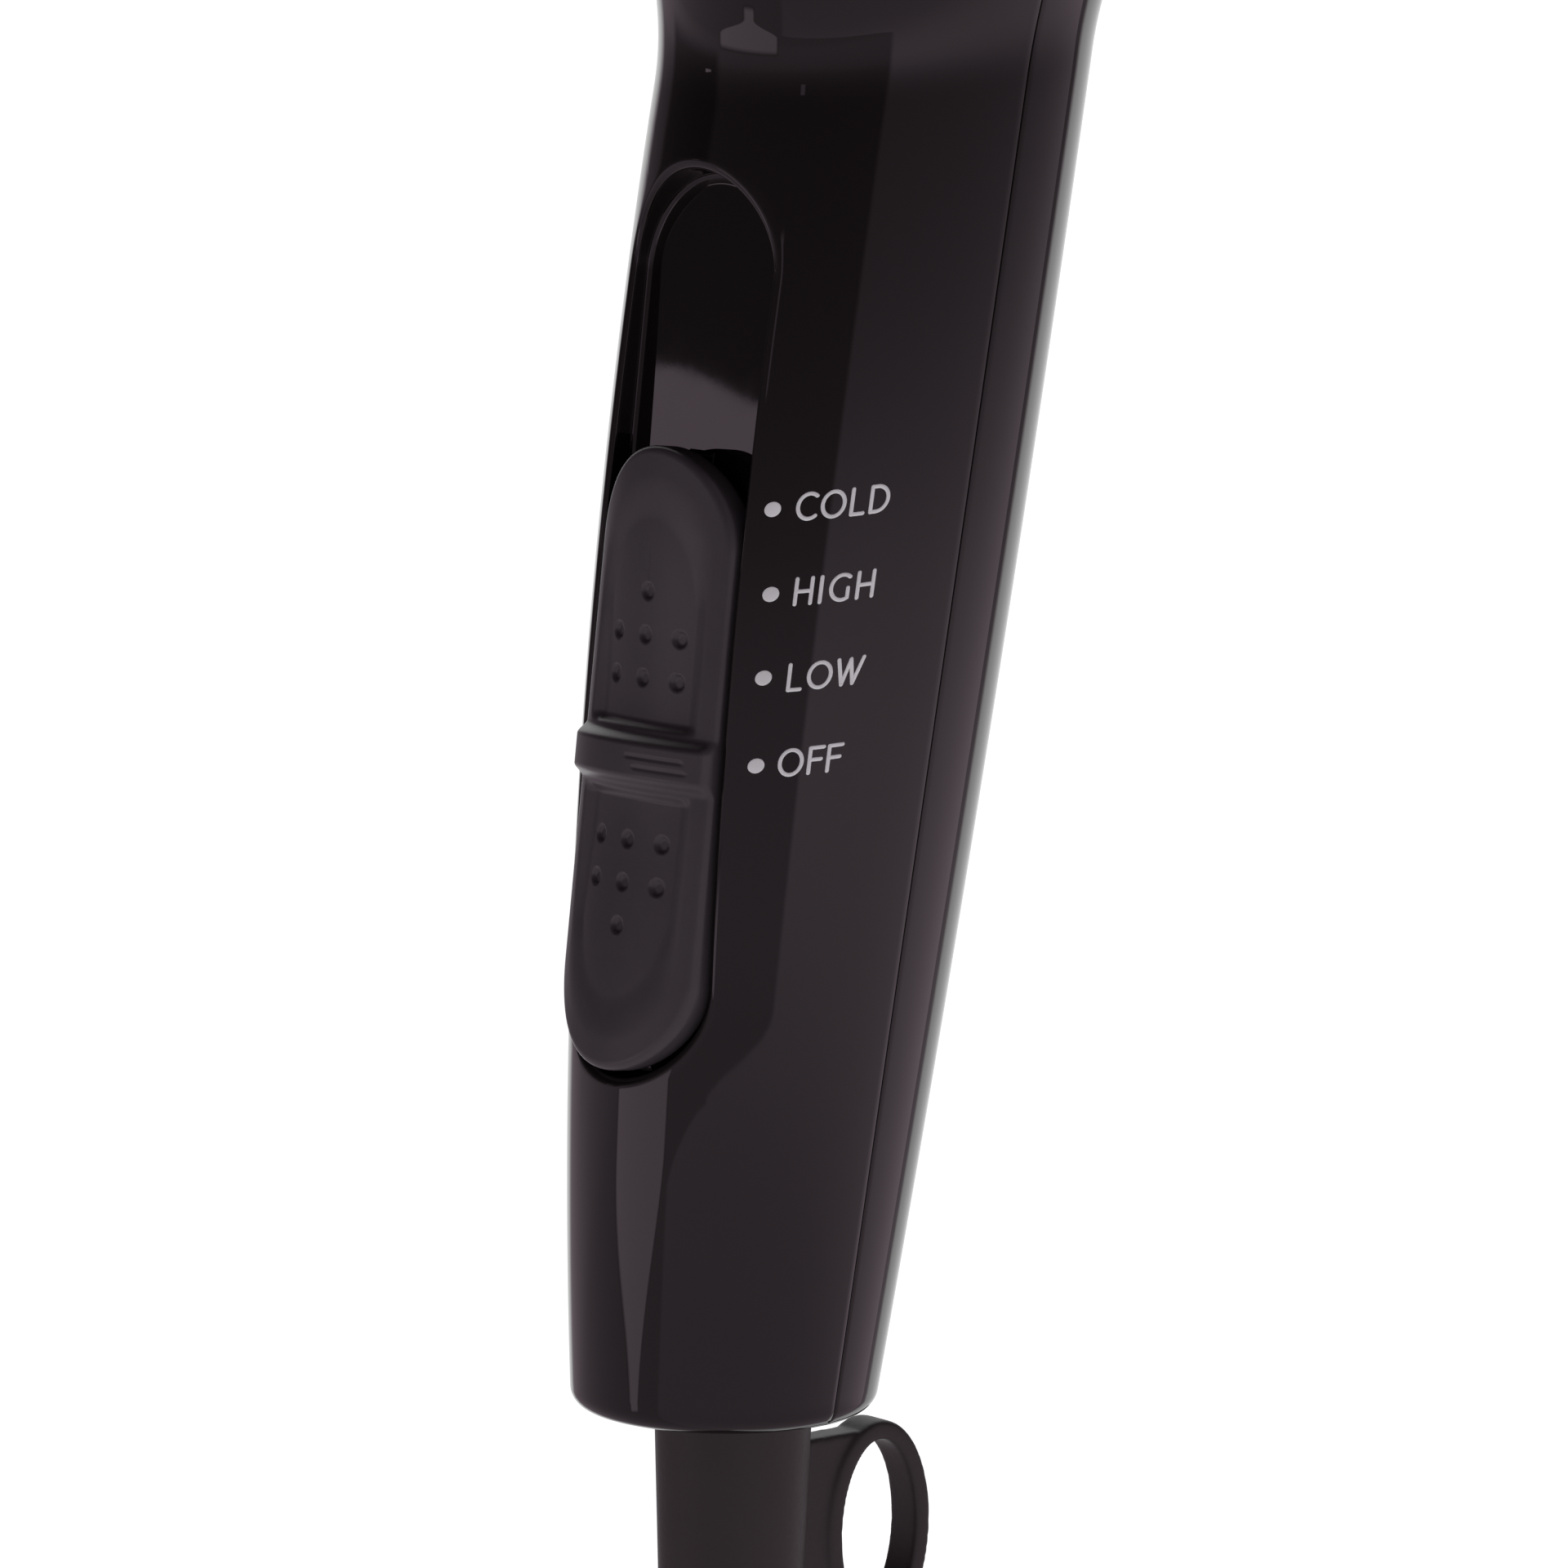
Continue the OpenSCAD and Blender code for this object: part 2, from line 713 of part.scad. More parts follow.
module slider_button() {
    half = slider_len / 2;
    ridge_half = 2.4;
    pocket_r = 70;
    pocket_w = button_r - 2.2;
    dot_rows = [7.3, 11.2, 15.1];
    dot_side = 4.2;
    color([0.23, 0.21, 0.22]) at_slider() difference() {
        union() {
            intersection() {
                stadium_bar(button_r, -half, half, -3, recess_depth - 0.4);
                difference() {
                    crown_bar(0, 4);
                    crown_bar(button_t, 6);
                }
            }
            intersection() {
                stadium_bar(button_r - 0.6, -half, half, -3, 9);
                translate([0, 0, -ridge_half]) translate([crown_r, 0, 0])
                    cylinder(h = 2 * ridge_half, r = crown_r + ridge_rise);
                translate([-3, -button_r, -ridge_half]) cube([3 + button_t, slider_w, 2 * ridge_half]);
            }
            translate([button_t - 1, -stem_w / 2, -stem_len / 2])
                cube([carrier_depth - button_t + 1, stem_w, stem_len]);
        }
        for (side = [-1, 1]) {
            intersection() {
                stadium_bar(pocket_w, side > 0 ? ridge_half : 6 - half,
                    side > 0 ? half - 6 : -ridge_half, -3, 3);
                translate([1.5 - pocket_r, 20, side * 14]) rotate([90, 0, 0])
                    cylinder(h = 40, r = pocket_r, $fn = 96);
            }
            for (row = [0:2], col = row == 2 ? [0] : [-1, 0, 1])
                translate([0, col * dot_side, side * dot_rows[row]]) rotate([0, 90, 0])
                    translate([0, 0, 0.6]) cylinder(h = 1.2, d = dot_d, $fn = 20);
        }
    }
}

module switch_carrier() {
    color([0.85, 0.82, 0.75]) at_slider() difference() {
        translate([carrier_depth, -5, -stem_len / 2 - 3]) cube([carrier_t, 10, stem_len + 6]);
        for (k = [-1, 1]) translate([carrier_depth + 1, k * 5 - 1, -1]) cube([3, 2, 2]);
    }
}

module contact_bridge() {
    color([0.8, 0.6, 0.35]) at_slider() for (side = [-1, 1])
        translate([carrier_depth + carrier_t, side * 2.6 - 0.9, -5]) {
            cube([0.5, 1.8, 10]);
            for (z = [0, 8]) translate([0, 0, z]) cube([1.1, 1.8, 2]);
        }
}

module switch_body() {
    color([0.92, 0.9, 0.85]) at_slider() translate([switch_depth, -switch_w / 2, switch_mid - switch_len / 2])
        cube([switch_t, switch_w, switch_len]);
}

module switch_terminals() {
    color([0.75, 0.75, 0.72]) at_slider() for (k = [-1.5:1], side = [-1, 1])
        translate([switch_depth + switch_t, side * 3 - 0.4, switch_mid + k * terminal_pitch])
            cube([terminal_len, 0.8, 3]);
}

module detent_spring() {
    color([0.8, 0.8, 0.82]) at_slider() for (side = [-1, 1])
        translate([carrier_depth + 0.4, side * 5.75 - 0.15, switch_mid - switch_len / 2 + 1])
            cube([switch_depth - carrier_depth, 0.3, switch_len - 2]);
}

// ---- cord entry ----

module cord_clamp() {
    color([0.2, 0.2, 0.2]) clamp_frame() difference() {
        translate([-2.5, -clamp_span - 2.6, -1.3]) cube([5, 2 * clamp_span + 5.2, 2.2]);
        for (side = [-1, 1]) translate([0, side * clamp_span, -3]) cylinder(h = 6, r = screw_r + 0.1);
    }
}

module clamp_screws() {
    color([0.75, 0.75, 0.76]) clamp_frame() for (side = [-1, 1]) translate([0, side * clamp_span, 0]) {
        translate([0, 0, -7.5]) cylinder(h = 8.5, r = screw_r - 0.25);
        translate([0, 0, 0.95]) cylinder(h = 1.5, r = head_r - 0.4);
    }
}

module housing_screws() {
    shank = 26;
    color([0.75, 0.75, 0.76]) {
        for (a = post_angles) rotate([a, 0, 0]) translate([duct_end + flange_t, post_at, 0])
            rotate([0, 90, 0]) {
                translate([0, 0, -shank]) cylinder(h = shank + 0.5, r = screw_r - eps);
                screw_head();
            }
        lower_screw_frame() translate([0, 0, grip_r(lower_screw_z) - seam_back - 4]) {
            translate([0, 0, -16]) cylinder(h = 16.5, r = screw_r - eps);
            screw_head();
        }
    }
}

module screw_head() {
    difference() {
        cylinder(h = head_t, r = head_r);
        for (turn = [0, 90]) rotate(turn) translate([-1.6, -0.35, head_t - 1.1]) cube([3.2, 0.7, 2]);
    }
}

module strain_relief() {
    tip_r = 5.6;
    loop_r = loop_w / 2;
    band = 1.8;
    loop_down = 14;
    half = loop_len / 2 - loop_r;
    loop_t = 3.8;
    web_t = 3;
    flange_r = sleeve_top_r + 2.2;
    neck_r = cord_bore_r + 1.4;
    grooves = 6;
    color([0.14, 0.13, 0.13]) translate([end_x, 0, end_z]) rotate([0, end_lean, 0]) difference() {
        union() {
            rotate_extrude() polygon([[0, -sleeve_len], [tip_r - 0.6, -sleeve_len],
                [tip_r, -sleeve_len + 0.6], [sleeve_top_r, 0], [sleeve_top_r, wall + 0.1],
                [flange_r, wall + 0.1], [flange_r, wall + 2.2], [neck_r, wall + 2.2],
                [neck_r, wall + 5], [0, wall + 5]]);
            translate([loop_back, loop_t / 2, -loop_down]) rotate([90, 0, 0]) linear_extrude(loop_t)
                loop_outline(loop_r + band, half);
            translate([0, -web_t / 2, -loop_down - loop_len / 2])
                cube([loop_back - loop_r - 0.5, web_t, loop_len]);
        }
        translate([0, 0, -sleeve_len - 1]) cylinder(h = sleeve_len + 12, r = cord_bore_r);
        translate([loop_back, 5, -loop_down]) rotate([90, 0, 0]) linear_extrude(10)
            loop_outline(loop_r, half);
        for (i = [0:grooves - 1]) translate([0, 0, -sleeve_len + 3 + i * 3.4]) difference() {
            cylinder(h = 1.4, r = sleeve_top_r + 1);
            translate([0, 0, -1]) cylinder(h = 4, r = tip_r - 0.9);
        }
    }
}

module loop_outline(r, half) {
    for (side = [-1, 1]) translate([0, side * half]) circle(r);
    translate([-r, -half]) square([2 * r, 2 * half]);
}

// ---- leads ----

// Round lead through the points p
module lead(p) {
    last = len(p) - 1;
    skin([for (i = [0:last]) let (
        along = unit(p[min(i + 1, last)] - p[max(i - 1, 0)]),
        side = unit(cross(along, [0, 1, 0])),
        front = cross(along, side))
        [for (a = [0:45:315]) p[i] + lead_r * (cos(a) * side + sin(a) * front)]]);
}

module supply_leads() {
    cord_z = clamp_z + 4;
    for (side = [-1, 1]) color(side > 0 ? [0.4, 0.2, 0.1] : [0.1, 0.2, 0.5])
        lead([[end_x - 1.6, side * 1.6, end_z + 8],
              [grip_cx(cord_z) - 3, side * 2.6, cord_z],
              [grip_cx(lower_screw_z) + 1, side * 6.2, lower_screw_z],
              slider_point([terminal_depth, side * 3, switch_mid - 1.5 * terminal_pitch - 4]),
              slider_point([terminal_depth, side * 3, switch_mid - 1.5 * terminal_pitch + 2])]);
}

module heater_leads() {
    top_z = -grip_top - 12;
    for (side = [-1, 1]) color(side > 0 ? [0.6, 0.1, 0.1] : [0.1, 0.1, 0.1])
        lead([slider_point([terminal_depth, side * 3, switch_mid + 0.5 * terminal_pitch + 2]),
              [grip_cx(top_z) + 2, side * 5, top_z],
              [duct_x - 2, side * 4, -duct_r - 3],
              [duct_x - 2, side * 3, -motor_r - 2],
              [motor_x - 5.5, side * 2.2, 3.4 - motor_r]]);
}

front_housing();
rear_housing();
outlet_ring();
outlet_grille();
intake_cover();
lint_filter();
motor_duct();
motor_ring();
motor_can();
motor_magnets();
motor_end_cap();
motor_bearings();
rotor_shaft();
armature();
windings();
commutator();
brushes();
fan();
heater_board_upright();
heater_board_level();
heater_coil_high();
heater_coil_low();
heater_sleeve();
thermostat();
thermal_fuse();
diode_board();
diodes();
slider_button();
switch_carrier();
contact_bridge();
switch_body();
switch_terminals();
detent_spring();
cord_clamp();
clamp_screws();
housing_screws();
strain_relief();
supply_leads();
heater_leads();
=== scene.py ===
# %% [markdown]
# # A pistol-grip hair dryer
# The moving parts, sizes and joints come ready-made in a fixed frame. This lesson dresses that frame: it
# makes the smooth moulded shells, the slide switch, the printed marks and the finishes. Lengths inside the
# helpers are millimetres, because that is how a moulding is drawn. A mesh becomes metres when it is made.

# %% Load the frame
import json
import math

import bmesh
import bpy
import numpy as np
from mathutils import Matrix, Vector


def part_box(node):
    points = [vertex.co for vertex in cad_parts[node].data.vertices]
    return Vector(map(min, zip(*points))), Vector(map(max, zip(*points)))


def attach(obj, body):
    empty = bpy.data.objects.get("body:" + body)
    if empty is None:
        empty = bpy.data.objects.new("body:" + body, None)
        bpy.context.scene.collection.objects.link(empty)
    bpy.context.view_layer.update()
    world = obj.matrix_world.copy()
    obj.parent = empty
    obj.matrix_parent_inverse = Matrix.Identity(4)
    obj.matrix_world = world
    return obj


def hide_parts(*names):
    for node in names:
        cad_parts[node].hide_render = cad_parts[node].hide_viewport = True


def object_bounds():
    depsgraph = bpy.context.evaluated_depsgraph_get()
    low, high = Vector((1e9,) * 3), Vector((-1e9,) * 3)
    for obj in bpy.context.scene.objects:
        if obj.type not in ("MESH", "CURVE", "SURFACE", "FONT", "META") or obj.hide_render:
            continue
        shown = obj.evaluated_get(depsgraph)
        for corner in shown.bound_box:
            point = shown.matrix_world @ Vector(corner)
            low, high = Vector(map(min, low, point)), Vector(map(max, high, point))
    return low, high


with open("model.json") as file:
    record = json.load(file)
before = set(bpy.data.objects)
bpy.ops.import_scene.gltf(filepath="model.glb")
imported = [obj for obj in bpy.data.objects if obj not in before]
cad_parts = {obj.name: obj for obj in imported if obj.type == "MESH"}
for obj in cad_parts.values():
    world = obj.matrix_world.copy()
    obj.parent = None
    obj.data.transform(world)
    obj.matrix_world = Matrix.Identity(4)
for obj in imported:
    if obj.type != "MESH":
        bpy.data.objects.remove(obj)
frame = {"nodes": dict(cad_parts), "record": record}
cad_low, cad_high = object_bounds()
nodes = frame["nodes"]
MM = 0.001
print("nodes", len(nodes), "box", [round(v, 4) for v in (*cad_low, *cad_high)])


def span(node):
    """Lowest and highest corner of a CAD node, in millimetres."""
    low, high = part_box(node)
    return np.array(low) / MM, np.array(high) / MM


# %% [markdown]
# ## The camera
# A long lens from a little above the handle's middle keeps the two sides of the grip nearly parallel, as a
# product shot does. The camera is turned a few degrees about its own axis, so the handle hangs almost
# upright. Its place is worked out from the point it looks at, two angles and a distance.

# %% Make the camera
TARGET = np.array([82.25, 0.0, -128.6])
AZIMUTH, ELEVATION, ROLL = (math.radians(v) for v in (-40.03, 13.35, -4.80))
DISTANCE = 800.0
LENS = 201.56

back = np.array([math.sin(AZIMUTH) * math.cos(ELEVATION), -math.cos(AZIMUTH) * math.cos(ELEVATION),
                 math.sin(ELEVATION)])
level = np.cross([0.0, 0.0, 1.0], back)
level /= np.linalg.norm(level)
upright = np.cross(back, level)
right = math.cos(ROLL) * level + math.sin(ROLL) * upright
up = -math.sin(ROLL) * level + math.cos(ROLL) * upright
camera = bpy.data.objects.new("camera", bpy.data.cameras.new("camera"))
bpy.context.scene.collection.objects.link(camera)
place = np.eye(4)
place[:3, 0], place[:3, 1], place[:3, 2] = right, up, back
place[:3, 3] = (TARGET + back * DISTANCE) * MM
camera.matrix_world = Matrix(place.tolist())
camera.data.lens = LENS
camera.data.sensor_width = 36.0
camera.data.clip_start, camera.data.clip_end = 0.01, 50.0
bpy.context.scene.camera = camera
print("camera at", np.round(place[:3, 3], 4))

# %% [markdown]
# ## Light for gloss black
# A black glossy shell shows almost nothing of its own: what the eye sees is the room mirrored in it. So the
# light is drawn as a room. A white backdrop stands behind, a wide soft panel on the right fades towards the
# top, a dark card stands in front of the switch, and one narrow bright panel stands on the left. The room is
# a function of direction in the world, so every view mirrors the same room. Rays that go straight to the
# camera see a plain white surround.

# %% A small helper that writes node trees
class Nodes:
    """Adds nodes to a tree, and wires them as they are made."""

    def __init__(self, tree):
        self.tree = tree

    def add(self, kind, *inputs, **settings):
        node = self.tree.nodes.new(kind)
        for name, value in settings.items():
            setattr(node, name, value)
        for slot, value in enumerate(inputs):
            self.wire(value, node.inputs[slot])
        return node

    def wire(self, value, socket):
        if value is None:
            return
        if isinstance(value, bpy.types.NodeSocket):
            self.tree.links.new(value, socket)
        else:
            socket.default_value = value

    def math(self, operation, *inputs):
        return self.add("ShaderNodeMath", *inputs, operation=operation).outputs[0]

    def vector(self, operation, *inputs):
        node = self.add("ShaderNodeVectorMath", *inputs, operation=operation)
        return node.outputs[1] if operation == "DOT_PRODUCT" else node.outputs[0]

    def step(self, value, start, end):
        """Rises smoothly from 0 at start to 1 at end."""
        node = self.add("ShaderNodeMapRange", value, interpolation_type="SMOOTHSTEP")
        self.wire(start, node.inputs["From Min"])
        self.wire(end, node.inputs["From Max"])
        return node.outputs[0]

    def between(self, value, start, end, soft):
        """1 where value lies between start and end, falling to 0 over soft on either side."""
        lower = self.step(value, self.math("SUBTRACT", start, soft), self.math("ADD", start, soft))
        upper = self.step(value, self.math("SUBTRACT", end, soft), self.math("ADD", end, soft))
        return self.math("SUBTRACT", lower, upper)

    def ramp(self, value, stops):
        """Straight lines between (place, height) stops."""
        curve = self.add("ShaderNodeFloatCurve", 1.0, value)
        points = curve.mapping.curves[0].points
        while len(points) < len(stops):
            points.new(0.5, 0.5)
        for point, stop in zip(points, stops):
            point.location = stop
            point.handle_type = "AUTO_CLAMPED"
        curve.mapping.update()
        return curve.outputs[0]


# %% The room, as a function of direction
GRIP_LEAN = math.radians(14.6)
DOWN_HANDLE = (-math.sin(GRIP_LEAN), 0.0, -math.cos(GRIP_LEAN))
SIDE_TINT = (1.0, 0.80, 0.93)
SURROUND = 1.05
# a turn is an angle in degrees about the upright, and a low is how far a direction points down the handle
LOWS_DRAWN = (-0.2, 0.5)
PANEL_FALL = [(0.0, 0.18), (0.186, 0.26), (0.286, 0.37), (0.357, 0.52), (0.443, 0.72), (0.5, 0.77),
              (0.57, 0.73), (0.65, 0.62), (0.72, 0.53), (1.0, 0.45)]
CARD_FALL = [(0.0, 0.06), (0.2, 0.11), (0.286, 0.15), (0.371, 0.22), (0.443, 0.33), (0.514, 0.38),
             (0.6, 0.40), (0.66, 0.36), (1.0, 0.36)]
CARD_EDGE, CARD_SWING, CARD_SWING_LOWS = 238.0, 58.0, (0.24, 0.31)
STRIP_TURNS, STRIP_TAPERS, STRIP_TAPER_LOWS = (138.0, 178.0), (17.0, 14.0), ((0.26, 0.38), (0.29, 0.38))
STRIP_TOP, STRIP_FOOT, STRIP_LIGHT = (0.17, 0.22), (0.42, 0.47), 1.05
STREAK_TURNS, STREAK_LOWS, STREAK_LIGHT = (191.2, 193.8), (-0.06, 0.004), 0.5
LAMP_TURNS, LAMP_LOWS, LAMP_SLANT, LAMP_SLANT_TURNS = (128.2, 132.6), (0.0475, 0.064), 0.004, (130.2, 131.0)
SHADE_TURNS, SHADE_LOWS, SHADE_DEPTH = (96.0, 138.0), (0.10, 0.20), 0.6
BACKDROP_LEFT, BACKDROP_RIGHT = (2.0, 10.0), (70.0, 84.0)

scene = bpy.context.scene
scene.view_settings.view_transform = "Standard"
scene.world = bpy.data.worlds.new("room")
scene.world.use_nodes = True
scene.world.node_tree.nodes.clear()
w = Nodes(scene.world.node_tree)
direction = w.vector("NORMALIZE", w.add("ShaderNodeTexCoord").outputs["Generated"])
parts = w.add("ShaderNodeSeparateXYZ", direction)
turn = w.math("DEGREES", w.math("ARCTAN2", parts.outputs[1], parts.outputs[0]))
# the turn is counted from 0 to 360, so that the dark card is one unbroken stretch
turn = w.math("FLOORED_MODULO", turn, 360.0)
low = w.vector("DOT_PRODUCT", direction, DOWN_HANDLE)
fall = w.add("ShaderNodeMapRange", low)
fall.inputs["From Min"].default_value, fall.inputs["From Max"].default_value = LOWS_DRAWN
fall = fall.outputs[0]
panel = w.ramp(fall, PANEL_FALL)
card = w.ramp(fall, CARD_FALL)


def times(*values):
    return w.math("MULTIPLY", *values)


def rest_of(share):
    return w.math("SUBTRACT", 1.0, share)


# %% Panel, card and lights
# the card's right edge swings in towards the switch near the handle's end
card_edge = w.math("SUBTRACT", CARD_EDGE, times(w.step(low, *CARD_SWING_LOWS), CARD_SWING))
in_panel = w.step(turn, w.math("SUBTRACT", card_edge, 1.5), w.math("ADD", card_edge, 1.5))
room = w.math("ADD", times(panel, in_panel), times(card, rest_of(in_panel)))
# the narrow bright panel on the left, which tapers towards the floor
strip_left = w.math("ADD", STRIP_TURNS[0], times(w.step(low, *STRIP_TAPER_LOWS[0]), STRIP_TAPERS[0]))
strip_right = w.math("SUBTRACT", STRIP_TURNS[1], times(w.step(low, *STRIP_TAPER_LOWS[1]), STRIP_TAPERS[1]))
strip = times(w.step(turn, strip_left, w.math("ADD", strip_left, 3.0)),
              rest_of(w.step(turn, w.math("SUBTRACT", strip_right, 2.0), strip_right)))
strip = times(strip, w.math("SUBTRACT", w.step(low, *STRIP_TOP), w.step(low, *STRIP_FOOT)))
# a thin upright light beyond the card's edge
streak = times(w.between(turn, *STREAK_TURNS, 0.8), w.between(low, *STREAK_LOWS, 0.004))
# a small lamp that only the flat recess floor mirrors, cut off by a slanted edge
lamp_low = w.math("ADD", LAMP_LOWS[0], times(w.step(turn, *LAMP_SLANT_TURNS), LAMP_SLANT))
lamp = times(w.between(low, lamp_low, LAMP_LOWS[1], 0.0006), w.between(turn, *LAMP_TURNS, 0.4))
# a shade over the room's far left, above the strip
shade = times(w.between(turn, *SHADE_TURNS, 3.0), rest_of(w.step(low, *SHADE_LOWS)))
room = times(room, rest_of(w.math("MAXIMUM", strip, times(shade, SHADE_DEPTH))))
# the white backdrop behind the dryer
backdrop = times(w.step(turn, *BACKDROP_LEFT), rest_of(w.step(turn, *BACKDROP_RIGHT)))
for light in (times(strip, STRIP_LIGHT), times(streak, STREAK_LIGHT), lamp, backdrop):
    room = w.math("MAXIMUM", room, light)
# panels, card and lights are tinted, and the backdrop is plain white
whiten = w.add("ShaderNodeVectorMath", tuple(1.0 - v for v in SIDE_TINT), operation="SCALE")
w.wire(backdrop, whiten.inputs["Scale"])
seen = w.add("ShaderNodeBackground", w.vector("ADD", SIDE_TINT, whiten.outputs[0]), room)
plain = w.add("ShaderNodeBackground", (1.0, 1.0, 1.0, 1.0), SURROUND)
straight = w.add("ShaderNodeLightPath").outputs["Is Camera Ray"]
mixed = w.add("ShaderNodeMixShader", straight, seen.outputs[0], plain.outputs[0])
w.add("ShaderNodeOutputWorld", mixed.outputs[0])
print("room nodes", len(w.tree.nodes))

# %% [markdown]
# ## The floor
# The floor is a wide pale plane below the cord's end. It glows a little, so it stays an even white behind
# the black handle, and mirrors leave it out so that the drawn room alone makes the reflections.

# %% Make the floor
FLOOR_HALF, FLOOR_DROP, FLOOR_GLOW = 6.0, 0.0005, 0.85
floor_mesh = bpy.data.meshes.new("floor")
floor_z = cad_low.z - FLOOR_DROP
floor_corners = [(x * FLOOR_HALF, y * FLOOR_HALF, floor_z) for x, y in ((-1, -1), (1, -1), (1, 1), (-1, 1))]
floor_mesh.from_pydata(floor_corners, [], [(0, 1, 2, 3)])
floor = bpy.data.objects.new("floor", floor_mesh)
scene.collection.objects.link(floor)
floor.visible_glossy = False
print("floor at", round(floor_z, 4))


# %% [markdown]
# ## Finishes
# Every moulded plastic starts from the same recipe: a base colour with a very faint mottle, a roughness that
# drifts a little, and a fine bump. Gloss black keeps its roughness and bump almost nil, and so mirrors the
# room. Object coordinates are used, so a grain stays put however a piece is cut.

# %% A function that makes a moulded or metal finish
CLOUD_SIZE = 12


def finish(name, colour, rough, metal=0.0, grain=900.0, mottle=0.12, drift=0.05, bump=0.05, depth=0.00002,
           specular=0.5, stretch=(1.0, 1.0, 1.0)):
    material = bpy.data.materials.new(name)
    material.use_nodes = True
    n = Nodes(material.node_tree)
    shader = material.node_tree.nodes["Principled BSDF"]
    shader.inputs["Metallic"].default_value = metal
    shader.inputs["Specular IOR Level"].default_value = specular
    at = n.add("ShaderNodeTexCoord").outputs["Object"]
    stretched = n.add("ShaderNodeMapping", at)
    stretched.inputs["Scale"].default_value = stretch
    cloud = n.add("ShaderNodeTexNoise", stretched.outputs[0])
    cloud.inputs["Scale"].default_value = grain / CLOUD_SIZE
    fine = n.add("ShaderNodeTexNoise", stretched.outputs[0])
    fine.inputs["Scale"].default_value = grain
    fine.inputs["Detail"].default_value = 4.0
    shades = n.add("ShaderNodeMapRange", cloud.outputs[0])
    shades.inputs["To Min"].default_value, shades.inputs["To Max"].default_value = 1 - mottle, 1 + mottle
    tint = n.add("ShaderNodeVectorMath", (*colour,), operation="SCALE")
    n.wire(shades.outputs[0], tint.inputs["Scale"])
    n.wire(tint.outputs[0], shader.inputs["Base Color"])
    roughs = n.add("ShaderNodeMapRange", fine.outputs[0])
    roughs.inputs["To Min"].default_value = max(rough - drift, 0.0)
    roughs.inputs["To Max"].default_value = rough + drift
    n.wire(roughs.outputs[0], shader.inputs["Roughness"])
    rise = n.add("ShaderNodeBump")
    rise.inputs["Strength"].default_value = bump
    rise.inputs["Distance"].default_value = depth
    n.wire(fine.outputs[0], rise.inputs["Height"])
    n.wire(rise.outputs[0], shader.inputs["Normal"])
    return material


# %% The dryer's finishes
gloss_black = finish("gloss_black", (0.0045, 0.0034, 0.0032), 0.02, grain=300, drift=0.012, bump=0.02)
satin_black = finish("satin_black", (0.011, 0.0095, 0.0095), 0.32, grain=2500, bump=0.3)
slider_satin = finish("slider_satin", (0.040, 0.034, 0.039), 0.3, grain=3000, bump=0.25, drift=0.04)
relief_rubber = finish("relief_rubber", (0.016, 0.0125, 0.0125), 0.5, grain=2200, bump=0.4, depth=0.00004)
print_silver = finish("print_silver", (0.72, 0.72, 0.74), 0.45, grain=4000, bump=0.15)
heat_resin = finish("heat_resin", (0.62, 0.58, 0.48), 0.5, grain=1500, bump=0.3)
soft_rubber = finish("soft_rubber", (0.03, 0.03, 0.03), 0.7, grain=1800, bump=0.5)
steel = finish("steel", (0.55, 0.55, 0.57), 0.28, metal=1.0, grain=1500, mottle=0.06, stretch=(0.1, 1, 1))
core_steel = finish("core_steel", (0.3, 0.3, 0.32), 0.4, metal=1.0, grain=1500, bump=0.6,
                    stretch=(4, 0.1, 0.1))
ferrite = finish("ferrite", (0.06, 0.06, 0.065), 0.6, grain=1600, bump=0.6)
bronze = finish("bronze", (0.62, 0.44, 0.2), 0.35, metal=1.0, grain=1800, bump=0.3)
copper = finish("copper", (0.65, 0.25, 0.11), 0.25, metal=1.0, grain=3000, bump=0.8, stretch=(0.1, 1, 1))
carbon = finish("carbon", (0.02, 0.02, 0.02), 0.55, grain=2500, bump=0.5)
mica = finish("mica", (0.5, 0.44, 0.31), 0.35, grain=600, mottle=0.3, bump=0.4, stretch=(1, 1, 0.3))
heater_wire = finish("heater_wire", (0.35, 0.31, 0.29), 0.4, metal=1.0, grain=3000, mottle=0.3)
ceramic = finish("ceramic", (0.75, 0.73, 0.68), 0.2, grain=700)
board_green = finish("board_green", (0.03, 0.16, 0.06), 0.3, grain=1200, mottle=0.2)
filter_mesh = finish("filter_mesh", (0.4, 0.4, 0.41), 0.3, metal=1.0, grain=3000)
lead_cover = finish("lead_cover", (0.12, 0.05, 0.03), 0.45, grain=1500)
floor_white = finish("floor_white", (0.85, 0.85, 0.85), 0.8, grain=3)
floor_shader = floor_white.node_tree.nodes["Principled BSDF"]
floor_shader.inputs["Emission Color"].default_value = (1.0, 1.0, 1.0, 1.0)
floor_shader.inputs["Emission Strength"].default_value = FLOOR_GLOW
floor.data.materials.append(floor_white)
print("finishes", len(bpy.data.materials))

# %% [markdown]
# ## The handle's shape, as formulas
# The grip is a leaning cone with a slight bow. Level cuts through it are ellipses. At the top each line of
# the grip swings out in a cubic curve and lands on the barrel. A person could sculpt this, but formulas
# give a surface with no dents, and a mirror-black finish shows every dent.

# %% Driving sizes of the shells, in millimetres
BARREL_R = span("intake_cover")[1][1]
COVER_X = span("rear_housing")[1][0]
COLLAR_FACE = 12.0
NOSE_X = span("outlet_ring")[0][0] + COLLAR_FACE
NOSE_R = 27.0
SWELL_X = 95.0
GRIP_TOP, GRIP_LEN, GRIP_X = -65.0, 119.4, 100.0
TOP_R, SWELL, END_R, BOW = 19.6, 1.14, 13.8, 1.6
SEAM_BACK = 1.1
REACH, WRAP, FLARE_PULL = 44.0, math.radians(56.0), 0.5
END_LEAN = math.radians(7.4)
WALL = 2.2
print("barrel radius", round(BARREL_R, 2), "cover at", round(COVER_X, 2))


